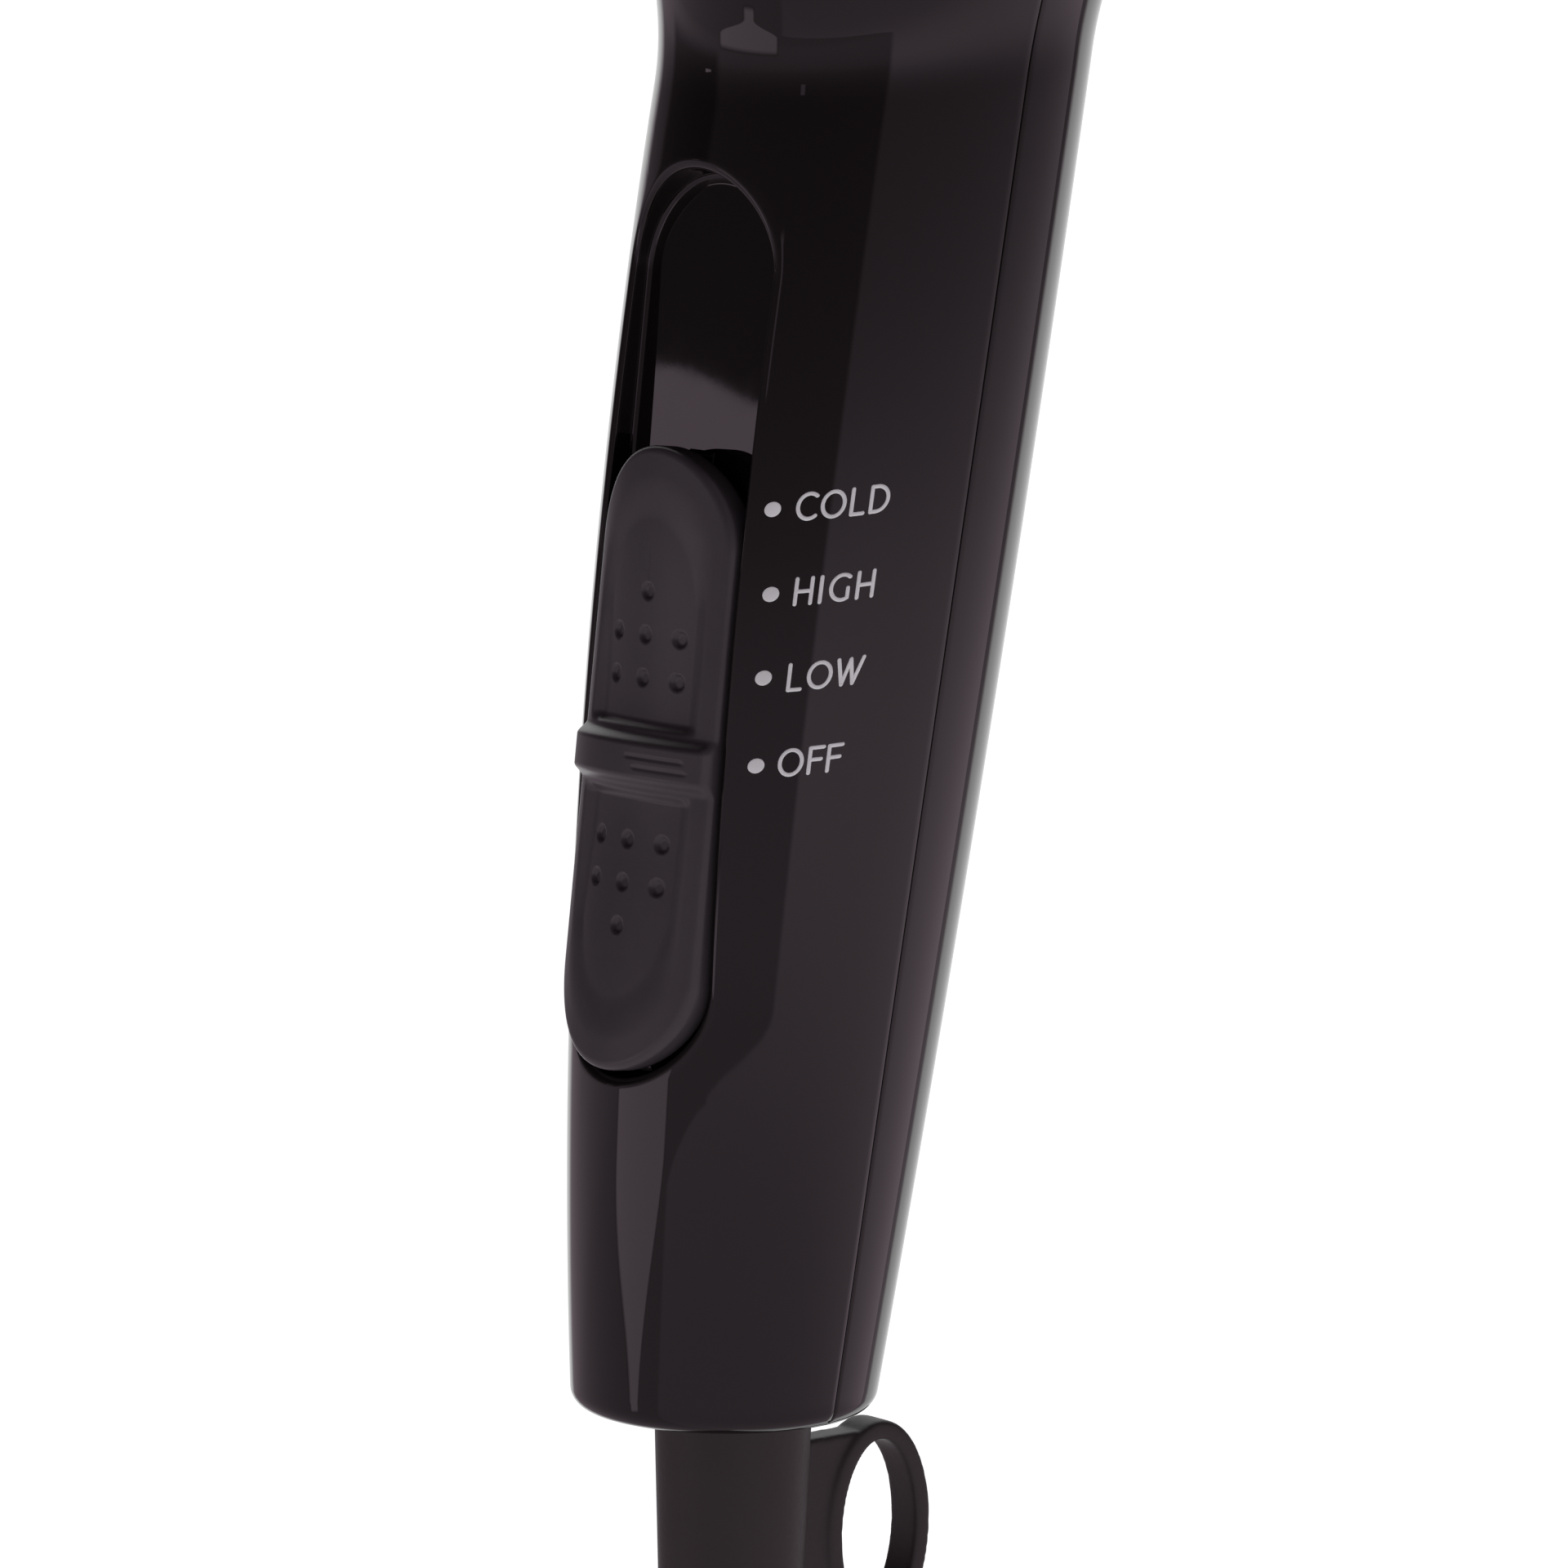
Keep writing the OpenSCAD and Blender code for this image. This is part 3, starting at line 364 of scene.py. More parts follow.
# %% The grip, the flare and the barrel
def grip_r(z):
    u = (GRIP_TOP - z) / GRIP_LEN
    return TOP_R + SWELL * u - (TOP_R + SWELL - END_R) * u * u


def grip_cx(z):
    u = (GRIP_TOP - z) / GRIP_LEN
    return GRIP_X - math.tan(GRIP_LEAN) * GRIP_LEN * u - 4 * BOW * u * (1 - u)


SEAM_TOP = grip_cx(GRIP_TOP) + SEAM_BACK
SEAM_SLOPE = grip_cx(GRIP_TOP + 1) - grip_cx(GRIP_TOP)
END_Z = GRIP_TOP - GRIP_LEN
END_X = grip_cx(END_Z) + SEAM_BACK
END_NORMAL = np.array([math.sin(END_LEAN), 0.0, math.cos(END_LEAN)])


def seam_x(z):
    return np.where(z > GRIP_TOP, SEAM_TOP + (z - GRIP_TOP) * SEAM_SLOPE, grip_cx(z) + SEAM_BACK)


def grip_point(z, a, inset=0.0):
    r = grip_r(z) - inset
    return np.stack([grip_cx(z) + r / math.cos(GRIP_LEAN) * np.cos(a), r * np.sin(a), z + 0 * a], -1)


def barrel_radius(x):
    rise = np.sin(np.radians(90 * np.clip((x - NOSE_X) / (SWELL_X - NOSE_X), 0, 1)))
    return NOSE_R + (BARREL_R - NOSE_R) * rise


def barrel_point(x, w):
    r = barrel_radius(x)
    return np.stack([x + 0 * w, r * np.sin(w), -r * np.cos(w)], -1)


FLARE_X = grip_cx(-BARREL_R)


def foot(a, share=1.0):
    return barrel_point(FLARE_X + share * REACH * np.cos(a), share * WRAP * np.sin(a))


def unit(v):
    return v / np.linalg.norm(v, axis=-1, keepdims=True)


def flare_point(t, a):
    pull = FLARE_PULL * (-GRIP_TOP - BARREL_R)
    rim = grip_point(np.full_like(a, GRIP_TOP), a)
    below = grip_point(np.full_like(a, GRIP_TOP - 1), a)
    landing = foot(a)
    out = unit(foot(a, 1.02) - foot(a, 0.98))
    t = np.asarray(t)[..., None]
    return (rim * (1 - t) ** 3 + (rim + unit(rim - below) * pull) * 3 * t * (1 - t) ** 2
            + (landing - out * pull) * 3 * t * t * (1 - t) + landing * t ** 3)


def seam_angle(point, shape):
    """Angle round the handle where a level of it crosses the seam, found by halving."""
    low, high = np.full(shape, 0.6), np.full(shape, 2.6)
    for _ in range(40):
        middle = (low + high) / 2
        p = point(middle)
        behind = p[..., 0] > seam_x(p[..., 2])
        low, high = np.where(behind, middle, low), np.where(behind, high, middle)
    return (low + high) / 2


print("handle ends at", round(END_Z, 1), "leaning end at x", round(END_X, 2))

# %% [markdown]
# ## Two shells, one seam
# The body is moulded as a front and a rear half. If one closed body were cut afterwards, the cut would leave
# ragged shading. Instead every level is drawn from seam to seam, so the joint runs exactly along a line of
# vertices. Each half carries a tiny rolled edge, and together they make the fine dark line a hand can feel.

# %% Grids of points become faces
class Shell:
    """Collects grids of points, and makes one mesh of them."""

    def __init__(self):
        self.points, self.faces, self.count = [], [], 0

    def grid(self, points, closed=False, skip=None):
        rows, columns = points.shape[:2]
        index = self.count + np.arange(rows * columns).reshape(rows, columns)
        self.points.append(points.reshape(-1, 3))
        self.count += rows * columns
        if closed:
            index = np.concatenate([index, index[:, :1]], 1)
        quads = np.stack([index[:-1, :-1], index[:-1, 1:], index[1:, 1:], index[1:, :-1]], -1)
        if skip is not None:
            quads = quads[~skip]
        self.faces += quads.reshape(-1, 4).tolist()
        return index

    def mesh(self, name, material, outward, merge=0.002):
        """Merges doubled points, and turns faces so that the one furthest along outward faces that way."""
        data = bpy.data.meshes.new(name)
        data.from_pydata((np.concatenate(self.points) * MM).tolist(), [], self.faces)
        work = bmesh.new()
        work.from_mesh(data)
        bmesh.ops.remove_doubles(work, verts=work.verts, dist=merge * MM)
        bmesh.ops.dissolve_degenerate(work, edges=work.edges, dist=merge * MM / 4)
        bmesh.ops.recalc_face_normals(work, faces=work.faces)
        far = max(work.faces, key=lambda f: f.calc_center_median().dot(Vector(outward)))
        if far.normal.dot(Vector(outward)) < 0:
            bmesh.ops.reverse_faces(work, faces=work.faces)
        for face in work.faces:
            face.smooth = True
        work.to_mesh(data)
        work.free()
        data.materials.append(material)
        piece = bpy.data.objects.new(name, data)
        scene.collection.objects.link(piece)
        return piece


# %% Columns: where a half's lines leave the seam, and how they land on the barrel
ACROSS, ALONG = 46, 44
PATCH_W, PATCH_LEN = math.radians(72.0), 60.0
PATCH_SHARE = {-1: 0.60, 1: 0.93}
EDGE_STEPS = np.array([0.0, 0.05, 0.16])
EVEN_SHARE = 0.35


def seam_on_barrel(w):
    return SEAM_TOP + SEAM_SLOPE * (-BARREL_R * np.cos(w) - GRIP_TOP)


def stretch(n, length):
    """Even shares from 0 to 1, with the two fine steps of a rolled edge at the start."""
    fine = EDGE_STEPS / length
    return np.concatenate([fine, np.linspace(fine[-1], 1, n)[1:]])


def patch_border(side):
    """The rectangle on the unrolled barrel round the flare, from seam to seam: share along, and angle."""
    q_far = PATCH_SHARE[side]
    q = stretch(ALONG, PATCH_LEN) * q_far
    w = np.linspace(PATCH_W, -PATCH_W, ACROSS + 1)
    return (np.concatenate([q, np.full(ACROSS - 1, q_far), q[::-1]]),
            np.concatenate([np.full(len(q), PATCH_W), w[1:-1], np.full(len(q), -PATCH_W)]))


def on_barrel(q, w, side):
    """Point at share q from the seam to the shell's end, at angle w."""
    end = NOSE_X if side < 0 else COVER_X
    start = seam_on_barrel(w)
    return barrel_point(start + (end - start) * q, w)


def share_on_barrel(x, w, side):
    end = NOSE_X if side < 0 else COVER_X
    start = seam_on_barrel(w)
    return (x - start) / (end - start)


def columns(side):
    """For each border point, its share v of the way round from seam to seam."""
    q, w = patch_border(side)
    x = on_barrel(q, w, side)[:, 0]
    a = np.arctan2(w / WRAP, (x - FLARE_X) / REACH)
    if side < 0:
        a = np.where(a < 0, a + 2 * math.pi, a)
    v = (a - a[0]) / (a[-1] - a[0])
    even = np.linspace(0, 1, len(v))
    edge = EDGE_STEPS / PATCH_LEN
    v = (1 - EVEN_SHARE) * v + EVEN_SHARE * even
    v[:3], v[-3:] = edge, 1 - edge[::-1]
    return v, q, w


def arc(v, a_seam, side):
    """Angle at share v round one half. The front half runs through 180 degrees, the rear through 0."""
    if side < 0:
        return a_seam + v * (2 * math.pi - 2 * a_seam)
    return a_seam * (1 - 2 * v)


print("columns per half", len(columns(-1)[0]), len(columns(1)[0]))

# %% [markdown]
# ## The switch's recess
# A long pocket with round ends is sunk in the front of the grip. Cutting it with a Boolean would leave
# long thin faces beside a sharp rim, so rings are drawn round the pocket's outline instead: out on the grip,
# over a rolled lip, down the wall and across the floor. All of them follow the same outline.

# %% The slider's own frame and the pocket's outline
SLIDER_LEN, SLIDER_W, PITCH = 56.4, 18.0, 7.66
RECESS_DEPTH, GAP = 5.1, 0.4
SLIDER_Z = GRIP_TOP - 57.3
TRAVEL = 3 * PITCH
POCKET_LOW, POCKET_HIGH = -SLIDER_LEN / 2 - 0.6, SLIDER_LEN / 2 + TRAVEL + 1.9
POCKET_R = SLIDER_W / 2 + GAP


def grip_front(z):
    return grip_cx(z) - grip_r(z) / math.cos(GRIP_LEAN)


TILT = math.atan((grip_front(SLIDER_Z + POCKET_HIGH) - grip_front(SLIDER_Z + POCKET_LOW))
                 / (POCKET_HIGH - POCKET_LOW))
SLIDER_AT = np.array([grip_front(SLIDER_Z), 0.0, SLIDER_Z])
INTO = np.array([math.cos(TILT), 0.0, -math.sin(TILT)])
ALONG_SLIDE = np.array([math.sin(TILT), 0.0, math.cos(TILT)])
SIDEWAYS = np.array([0.0, 1.0, 0.0])
CROWN_R = grip_r(SLIDER_Z) + 0.4


def from_slider(depth, y, s):
    depth, y, s = np.broadcast_arrays(depth, y, s)
    return SLIDER_AT + depth[..., None] * INTO + y[..., None] * SIDEWAYS + s[..., None] * ALONG_SLIDE


def grip_depth(y, s):
    """Depth in the slider's frame at which the grip's face lies under (y, s)."""
    low, high = np.full(np.broadcast(y, s).shape, -8.0), np.full(np.broadcast(y, s).shape, 14.0)
    for _ in range(40):
        middle = (low + high) / 2
        p = from_slider(middle, y, s)
        r = grip_r(p[..., 2])
        outside = ((p[..., 0] - grip_cx(p[..., 2])) * math.cos(GRIP_LEAN) / r) ** 2 + (p[..., 1] / r) ** 2 > 1
        low, high = np.where(outside, middle, low), np.where(outside, high, middle)
    return (low + high) / 2


def crown_depth(y, sunk):
    r = CROWN_R - sunk
    return CROWN_R - np.sqrt(r * r - y * y)


def outline(y, s, low, high, r):
    """Nearest point of the pocket's centre line, the way out from it, and the distance past the outline."""
    centre = np.clip(s, low + r, high - r)
    away = np.stack([y, s - centre], -1)
    distance = np.linalg.norm(away, axis=-1)
    return centre, away / distance[..., None], distance - r


def smooth(t):
    t = np.clip(t, 0, 1)
    return t * t * (3 - 2 * t)


# %% Rings from a border on the grip down into the pocket
LIP, LIP_DROP, DRAFT, FILLET = 0.9, 0.75, 0.1, 0.5


def pocket_rings(border):
    """Grid of rings inside a closed border of points on the grip."""
    local = border - SLIDER_AT
    y, s = local[:, 1], local @ ALONG_SLIDE
    centre, way, far = outline(y, s, POCKET_LOW, POCKET_HIGH, POCKET_R)
    rings = []

    def ring(past, depth):
        yy = way[:, 0] * (POCKET_R + past)
        ss = centre + way[:, 1] * (POCKET_R + past)
        return yy, ss, depth(yy, ss)

    for t in np.linspace(0, 1, 9)[1:]:
        past = far * (1 - t) + LIP * t
        rings.append(ring(past, grip_depth))
    for t in np.linspace(0, math.pi / 2, 8)[1:]:
        past, drop = LIP * (1 - math.sin(t)), LIP_DROP * (1 - math.cos(t))
        rings.append(ring(np.full_like(far, past), lambda a, b, d=drop: grip_depth(a, b) + d))
    edge = rings[-1][2]
    floor_at = np.full_like(edge, RECESS_DEPTH - FILLET)
    for t in (0.2, 0.4, 0.6, 0.8, 1.0):
        depth = edge + (np.maximum(floor_at, edge) - edge) * t
        rings.append(ring(np.full_like(far, -DRAFT * t), lambda a, b, d=depth: d))
    for t in np.linspace(0, math.pi / 2, 5)[1:]:
        past = -DRAFT - FILLET * (1 - math.cos(t))
        sunk = RECESS_DEPTH - FILLET * (1 - math.sin(t))
        rings.append(ring(np.full_like(far, past), lambda a, b, d=sunk: d + 0 * a))
    for past in -np.linspace(DRAFT + FILLET, POCKET_R, 14)[1:]:
        rings.append(ring(np.full_like(far, past), lambda a, b: RECESS_DEPTH + 0 * a))
    return np.stack([from_slider(depth, yy, ss) for yy, ss, depth in rings])


print("slider tilt", round(math.degrees(TILT), 3), "pocket", round(POCKET_LOW, 2), round(POCKET_HIGH, 2))

# %% Build one half: end face, rim, grip, flare and barrel
RIM, SEAT_R, FACE_HALF, POCKET_MARGIN = 1.7, 7.42, 12.6, 3.2
FACE_ROWS, RIM_ROWS, LEVELS, FLARE_ROWS, LANDING_ROWS = 9, 9, 150, 40, 15
REST_ROWS, TOP_COLUMNS = {-1: 48, 1: 4}, 84


def level_at_end(v, side, inset, height):
    """The ring at a height above the leaning end face, found by stepping."""
    z = np.full_like(v, END_Z)
    for _ in range(30):
        a_seam = seam_angle(lambda a, z=z: grip_point(z, a, inset), v.shape)
        p = grip_point(z, arc(v, a_seam, side), inset)
        z = z - ((p - [END_X, 0.0, END_Z]) @ END_NORMAL - height)
    a_seam = seam_angle(lambda a: grip_point(z, a, inset), v.shape)
    return grip_point(z, arc(v, a_seam, side), inset), z


def build_half(side, name):
    v, q, w = columns(side)
    shell = Shell()
    rows = []
    # the end face, from the strain relief's hole out to the rolled rim
    face_edge, _ = level_at_end(v, side, RIM, 0.0)
    turn_at = math.pi / 2 - side * math.pi * v
    hole = np.stack([END_X + SEAT_R * np.cos(turn_at) * math.cos(END_LEAN), SEAT_R * np.sin(turn_at),
                     END_Z - SEAT_R * np.cos(turn_at) * math.sin(END_LEAN)], -1)
    for t in np.linspace(0, 1, FACE_ROWS)[:-1]:
        rows.append(hole * (1 - t) + face_edge * t)
    for t in np.linspace(0, math.pi / 2, RIM_ROWS):
        rows.append(level_at_end(v, side, RIM * (1 - math.sin(t)), RIM * (1 - math.cos(t)))[0])
    _, z_rim = level_at_end(v, side, 0.0, RIM)
    # the grip
    first_level = len(rows)
    for t in np.linspace(0, 1, LEVELS)[1:]:
        z = z_rim + (GRIP_TOP - z_rim) * t
        a_seam = seam_angle(lambda a, z=z: grip_point(z, a), v.shape)
        rows.append(grip_point(z, arc(v, a_seam, side)))
    # the flare, and the landing on the barrel
    for t in np.linspace(0, 1, FLARE_ROWS)[1:]:
        level = np.full_like(v, t)
        a_seam = seam_angle(lambda a, t=level: flare_point(t, a), v.shape)
        rows.append(flare_point(level, arc(v, a_seam, side)))
    a_seam = seam_angle(foot, v.shape)
    landing = arc(v, a_seam, side)
    x_land, w_land = FLARE_X + REACH * np.cos(landing), WRAP * np.sin(landing)
    q_land = share_on_barrel(x_land, w_land, side)
    q_land[[0, -1]] = 0.0
    for t in np.linspace(0, 1, LANDING_ROWS)[1:]:
        rows.append(on_barrel(q_land * (1 - t) + q * t, w_land * (1 - t) + w * t, side))
    points = np.stack(rows)
    skip = None
    if side < 0:
        # leave a rectangle open for the pocket, on whole rows and columns
        level_s = (points - SLIDER_AT) @ ALONG_SLIDE
        middle = len(v) // 2
        face = np.abs(points[first_level + LEVELS // 2, :, 1]) < FACE_HALF
        face &= points[first_level + LEVELS // 2, :, 0] < grip_cx(SLIDER_Z)
        cols = np.flatnonzero(face)
        inside = np.flatnonzero((level_s[:, middle] > POCKET_LOW - POCKET_MARGIN)
                                & (level_s[:, middle] < POCKET_HIGH + POCKET_MARGIN))
        r0, r1, c0, c1 = inside[0], inside[-1], cols[0], cols[-1]
        skip = np.zeros((len(rows) - 1, len(v) - 1), bool)
        skip[r0:r1, c0:c1] = True
        border = np.concatenate([points[r0, c0:c1], points[r0:r1, c1],
                                 points[r1, c1:c0:-1], points[r1:r0:-1, c0]])
        shell.grid(np.concatenate([border[None], pocket_rings(border)]), closed=True)
    shell.grid(points, skip=skip)
    # the rest of the barrel: beyond the patch lengthwise, and round the top
    q_far = q.max()
    q_rest = np.linspace(q_far, 1, REST_ROWS[side])
    w_patch = np.linspace(PATCH_W, -PATCH_W, ACROSS + 1)
    shell.grid(np.stack([on_barrel(np.full_like(w_patch, k), w_patch, side) for k in q_rest]))
    w_top = np.linspace(PATCH_W, 2 * math.pi - PATCH_W, TOP_COLUMNS)
    q_all = np.unique(np.round(np.concatenate([stretch(ALONG, PATCH_LEN) * q_far, q_rest]), 12))
    shell.grid(np.stack([on_barrel(np.full_like(w_top, k), w_top, side) for k in q_all]))
    return shell.mesh(name, gloss_black, (-1.0, 0.0, 0.0) if side < 0 else (0.0, 0.0, 1.0))


# %% Roll the seam's edge, and give the skin a wall
ROLL, ROLL_BESIDE, OVERHANG = 0.26, 0.07, 0.035
AT_SEAM, BESIDE_SEAM = 0.01, 0.08
THIN, NEAR_POCKET = 0.3, 9.0


def settle(piece):
    """Runs the piece's modifiers, and keeps the result as a plain mesh."""
    graph = bpy.context.evaluated_depsgraph_get()
    finished = bpy.data.meshes.new_from_object(piece.evaluated_get(graph))
    piece.modifiers.clear()
    piece.data = finished
    return piece


def roll_seam_edge(piece, side):
    """Sinks the points beside the seam, so each half ends in a tiny rolled edge."""
    mesh = piece.data
    co = np.empty(len(mesh.vertices) * 3)
    mesh.vertices.foreach_get("co", co)
    co = co.reshape(-1, 3) / MM
    normals = np.empty(len(mesh.vertices) * 3)
    mesh.vertices.foreach_get("normal", normals)
    normals = normals.reshape(-1, 3)
    off = np.abs(co[:, 0] - seam_x(co[:, 2]))
    sink = np.where(off < AT_SEAM, ROLL, np.where(off < BESIDE_SEAM, ROLL_BESIDE, 0.0))
    co -= normals * sink[:, None]
    co[:, 0] += side * np.where(off < AT_SEAM, OVERHANG, 0.0)
    mesh.vertices.foreach_set("co", (co * MM).ravel())
    mesh.update()
    return int((sink > 0).sum())


def give_wall(piece, thickness, thin_near_pocket=False):
    """Turns an open skin into a closed shell by growing it inwards."""
    solid = piece.modifiers.new("wall", "SOLIDIFY")
    solid.thickness = thickness * MM
    solid.offset = -1.0
    if thin_near_pocket:
        group = piece.vertex_groups.new(name="wall")
        for vertex in piece.data.vertices:
            local = np.array(vertex.co) / MM - SLIDER_AT
            along = np.array([local @ ALONG_SLIDE])
            past = outline(local[1:2], along, POCKET_LOW, POCKET_HIGH, POCKET_R)[2][0]
            near = local @ INTO < NEAR_POCKET and past < 3.0
            share = THIN + (1 - THIN) * float(smooth((past - 1.2) / 1.8)) if near else 1.0
            group.add([vertex.index], share, "REPLACE")
        solid.vertex_group = "wall"
    settle(piece)


shells = {}
for side, name in ((-1, "front_shell"), (1, "rear_shell")):
    shells[name] = build_half(side, name)
    rolled = roll_seam_edge(shells[name], side)
    give_wall(shells[name], WALL, thin_near_pocket=side < 0)
    print(name, "faces", len(shells[name].data.polygons), "edge points", rolled)

# %% [markdown]
# ## Openings in the shells
# The switch's stem passes through a slot in the recess floor, and a long screw closes the handle from
# behind. Both openings are cut in the finished walls, where no long highlight crosses them.

# %% Cut the stem's slot and the screw's pocket
def add_piece(name, data, material):
    data.materials.clear()
    data.materials.append(material)
    piece = bpy.data.objects.new(name, data)
    scene.collection.objects.link(piece)
    return piece


def harden(piece, *modifiers):
    """Runs modifiers given as (type, settings), then even shading."""
    for kind, settings in modifiers:
        made = piece.modifiers.new(kind, kind)
        for key, value in settings.items():
            setattr(made, key, value)
    piece.modifiers.new("even", "WEIGHTED_NORMAL").keep_sharp = True
    return settle(piece)


def cut(piece, cutter):
    hole = piece.modifiers.new("cut", "BOOLEAN")
    hole.object, hole.operation, hole.solver = cutter, "DIFFERENCE", "EXACT"
    settle(piece)
    bpy.data.objects.remove(cutter)


def lathe(profile, steps, place):
    """Shell of a closed (along, out) profile turned round the axis that place(along, out, angle) sets."""
    turns = np.linspace(0, 2 * math.pi, steps, endpoint=False)
    path = np.concatenate([profile, profile[:1]])
    shell = Shell()
    shell.grid(place(path[:, :1], path[:, 1:], turns[None]), closed=True)
    return shell


def round_x(along, out, angle):
    along, out, angle = np.broadcast_arrays(along, out, angle)
    return np.stack([along, out * np.cos(angle), out * np.sin(angle)], -1)


def rounded(corners, steps=6):
    """Closed profile through (along, out, radius) corners, with each corner eased."""
    path = []
    for i, (along, out, radius) in enumerate(corners):
        corner = np.array([along, out])
        before = unit(np.array(corners[i - 1][:2]) - corner)
        after = unit(np.array(corners[(i + 1) % len(corners)][:2]) - corner)
        reach = radius / math.tan(math.acos(float(before @ after)) / 2)
        for t in np.linspace(0, 1, steps):
            path.append(corner + before * reach * (1 - t) ** 2 + after * reach * t * t)
    return np.array(path)


STEM_W, STEM_LEN, STEM_SLACK, STEM_SIDE_SLACK = 3.0, 8.0, 0.6, 0.2
SLOT_FROM, SLOT_TO = 3, 9
slot_low, slot_high = -STEM_LEN / 2 - STEM_SLACK, STEM_LEN / 2 + TRAVEL + STEM_SLACK
slot_box = Shell()
slot_y = (STEM_W / 2 + STEM_SIDE_SLACK) * np.array([-1, 1, 1, -1])
slot_s = np.array([slot_low, slot_low, slot_high, slot_high])
slot_rows = [from_slider(d + 0 * slot_y, k * slot_y, k * slot_s + (1 - k) * slot_s.mean())
             for d, k in ((SLOT_FROM, 0), (SLOT_FROM, 1), (SLOT_TO, 1), (SLOT_TO, 0))]
slot_box.grid(np.stack(slot_rows), closed=True)
cut(shells["front_shell"], slot_box.mesh("slot_cutter", gloss_black, (-1.0, 0.0, 0.0)))

SCREW_Z = END_Z + 24
SCREW_LEAN = math.radians(94) - GRIP_LEAN
SCREW_AT = np.array([grip_cx(SCREW_Z) + SEAM_BACK, 0.0, SCREW_Z])
SCREW_OUT = np.array([math.sin(SCREW_LEAN), 0.0, -math.cos(SCREW_LEAN)])
SCREW_UP = np.array([math.cos(SCREW_LEAN), 0.0, math.sin(SCREW_LEAN)])
HEAD_R, HEAD_START = 3.1, grip_r(SCREW_Z) - SEAM_BACK - 4
TUBE_R, SHANK_R, TUBE_PAST, ROUND_STEPS = 3.8, 1.65, 1.5, 48


def round_screw(along, out, angle):
    along, out, angle = (v[..., None] for v in np.broadcast_arrays(along, out, angle))
    return SCREW_AT + along * SCREW_OUT + out * (np.cos(angle) * SCREW_UP + np.sin(angle) * SIDEWAYS)


hole_profile = np.array([[HEAD_START - 8, 0.0], [HEAD_START - 8, HEAD_R], [HEAD_START + 9, HEAD_R],
                         [HEAD_START + 9, 0.0]])
hole_cutter = lathe(hole_profile, ROUND_STEPS, round_screw).mesh("hole_cutter", gloss_black, (1.0, 0.0, 0.0))
cut(shells["rear_shell"], hole_cutter)
# the screw sits on a tube inside the handle
tube = rounded([(0.0, SHANK_R, 0.2), (0.0, TUBE_R, 0.4), (HEAD_START + TUBE_PAST, TUBE_R, 0.3),
                (HEAD_START + TUBE_PAST, HEAD_R, 0.1), (HEAD_START, HEAD_R, 0.1), (HEAD_START, SHANK_R, 0.1)])
screw_tube = harden(lathe(tube, ROUND_STEPS, round_screw).mesh("screw_tube", gloss_black, (1.0, 0.0, 0.0)))
print("slot from", round(slot_low, 2), "to", round(slot_high, 2), "screw at z", round(SCREW_Z, 1))

# %% [markdown]
# ## The slide button
# The button is a long moulded cap with round ends. A thumb pushes it by a cross ridge, out of two long
# hollows with seven dimples each. One height function describes the whole face, and rings that follow
# the outline carry it, so the edge stays clean and the two ends are true half circles.

# %% The button's face as a height function
HALF, EDGE, THICK, UNDERSIDE = SLIDER_LEN / 2, 0.7, 2.35, 4.7
RIDGE_RISE, RIDGE_TOP, RAMP = 1.1, 1.35, 1.25
BORDER, END_BORDER, HOLLOW_DEEP = 1.5, 2.6, 0.85
DIMPLE_R, DIMPLE_DEEP = 0.74, 0.36
DIMPLE_ROWS = [(7.3, (-4.2, 0, 4.2)), (11.2, (-4.2, 0, 4.2)), (15.1, (0,))]
DIMPLES = [(y, s * side) for side in (-1, 1) for s, row in DIMPLE_ROWS for y in row]
GROOVES, GROOVE_DEEP = [(0.35, -6.6, -1.2), (-0.6, -7.0, -2.2)], 0.11


def button_face(y, s):
    depth = crown_depth(y, 0.0)
    from_ridge = np.abs(s)
    depth = depth - RIDGE_RISE * (1 - smooth((from_ridge - RIDGE_TOP) / RAMP))
    # a hollow: inside the inset outline and clear of the ridge, soft at its sides and far end
    past = outline(y, s, -HALF + END_BORDER, HALF - END_BORDER, SLIDER_W / 2 - BORDER)[2]
    beside = smooth(-past / (1.9 + 2.4 * smooth((from_ridge - 14) / 9)))
    clear = smooth((from_ridge - RIDGE_TOP - RAMP) / 1.0)
    deep = HOLLOW_DEEP * (1 - 0.75 * smooth((from_ridge - 4) / 20))
    depth = depth + deep * beside * clear
    for dimple_y, dimple_s in DIMPLES:
        near = np.hypot(y - dimple_y, s - dimple_s)
        depth = depth + DIMPLE_DEEP * smooth((DIMPLE_R + 0.06 - near) / 0.24)
    for groove_s, y_low, y_high in GROOVES:
        beyond = np.maximum(np.maximum(y_low - y, y - y_high), 0)
        depth = depth + GROOVE_DEEP * smooth((0.2 - np.hypot(s - groove_s, beyond * 0.3)) / 0.16)
    return depth


def stadium(inset, sides=256, ends=180):
    """Points round the button's outline, moved inwards by inset, as (y, s)."""
    r, straight = SLIDER_W / 2 - inset, HALF - SLIDER_W / 2
    s = np.linspace(-straight, straight, sides, endpoint=False)
    a = np.linspace(0, math.pi, ends, endpoint=False)
    y = np.concatenate([r + 0 * s, r * np.cos(a), -r + 0 * s, -r * np.cos(a)])
    return y, np.concatenate([s, straight + r * np.sin(a), -s, -straight - r * np.sin(a)])


# %% Build the button: face, rounded edge, side, underside and stem
BUTTON_CENTRE, STEM_START, STEM_END = SLIDER_W / 2 - 0.01, 1.6, 7.8


def under_button(y):
    return np.minimum(crown_depth(y, THICK), UNDERSIDE)


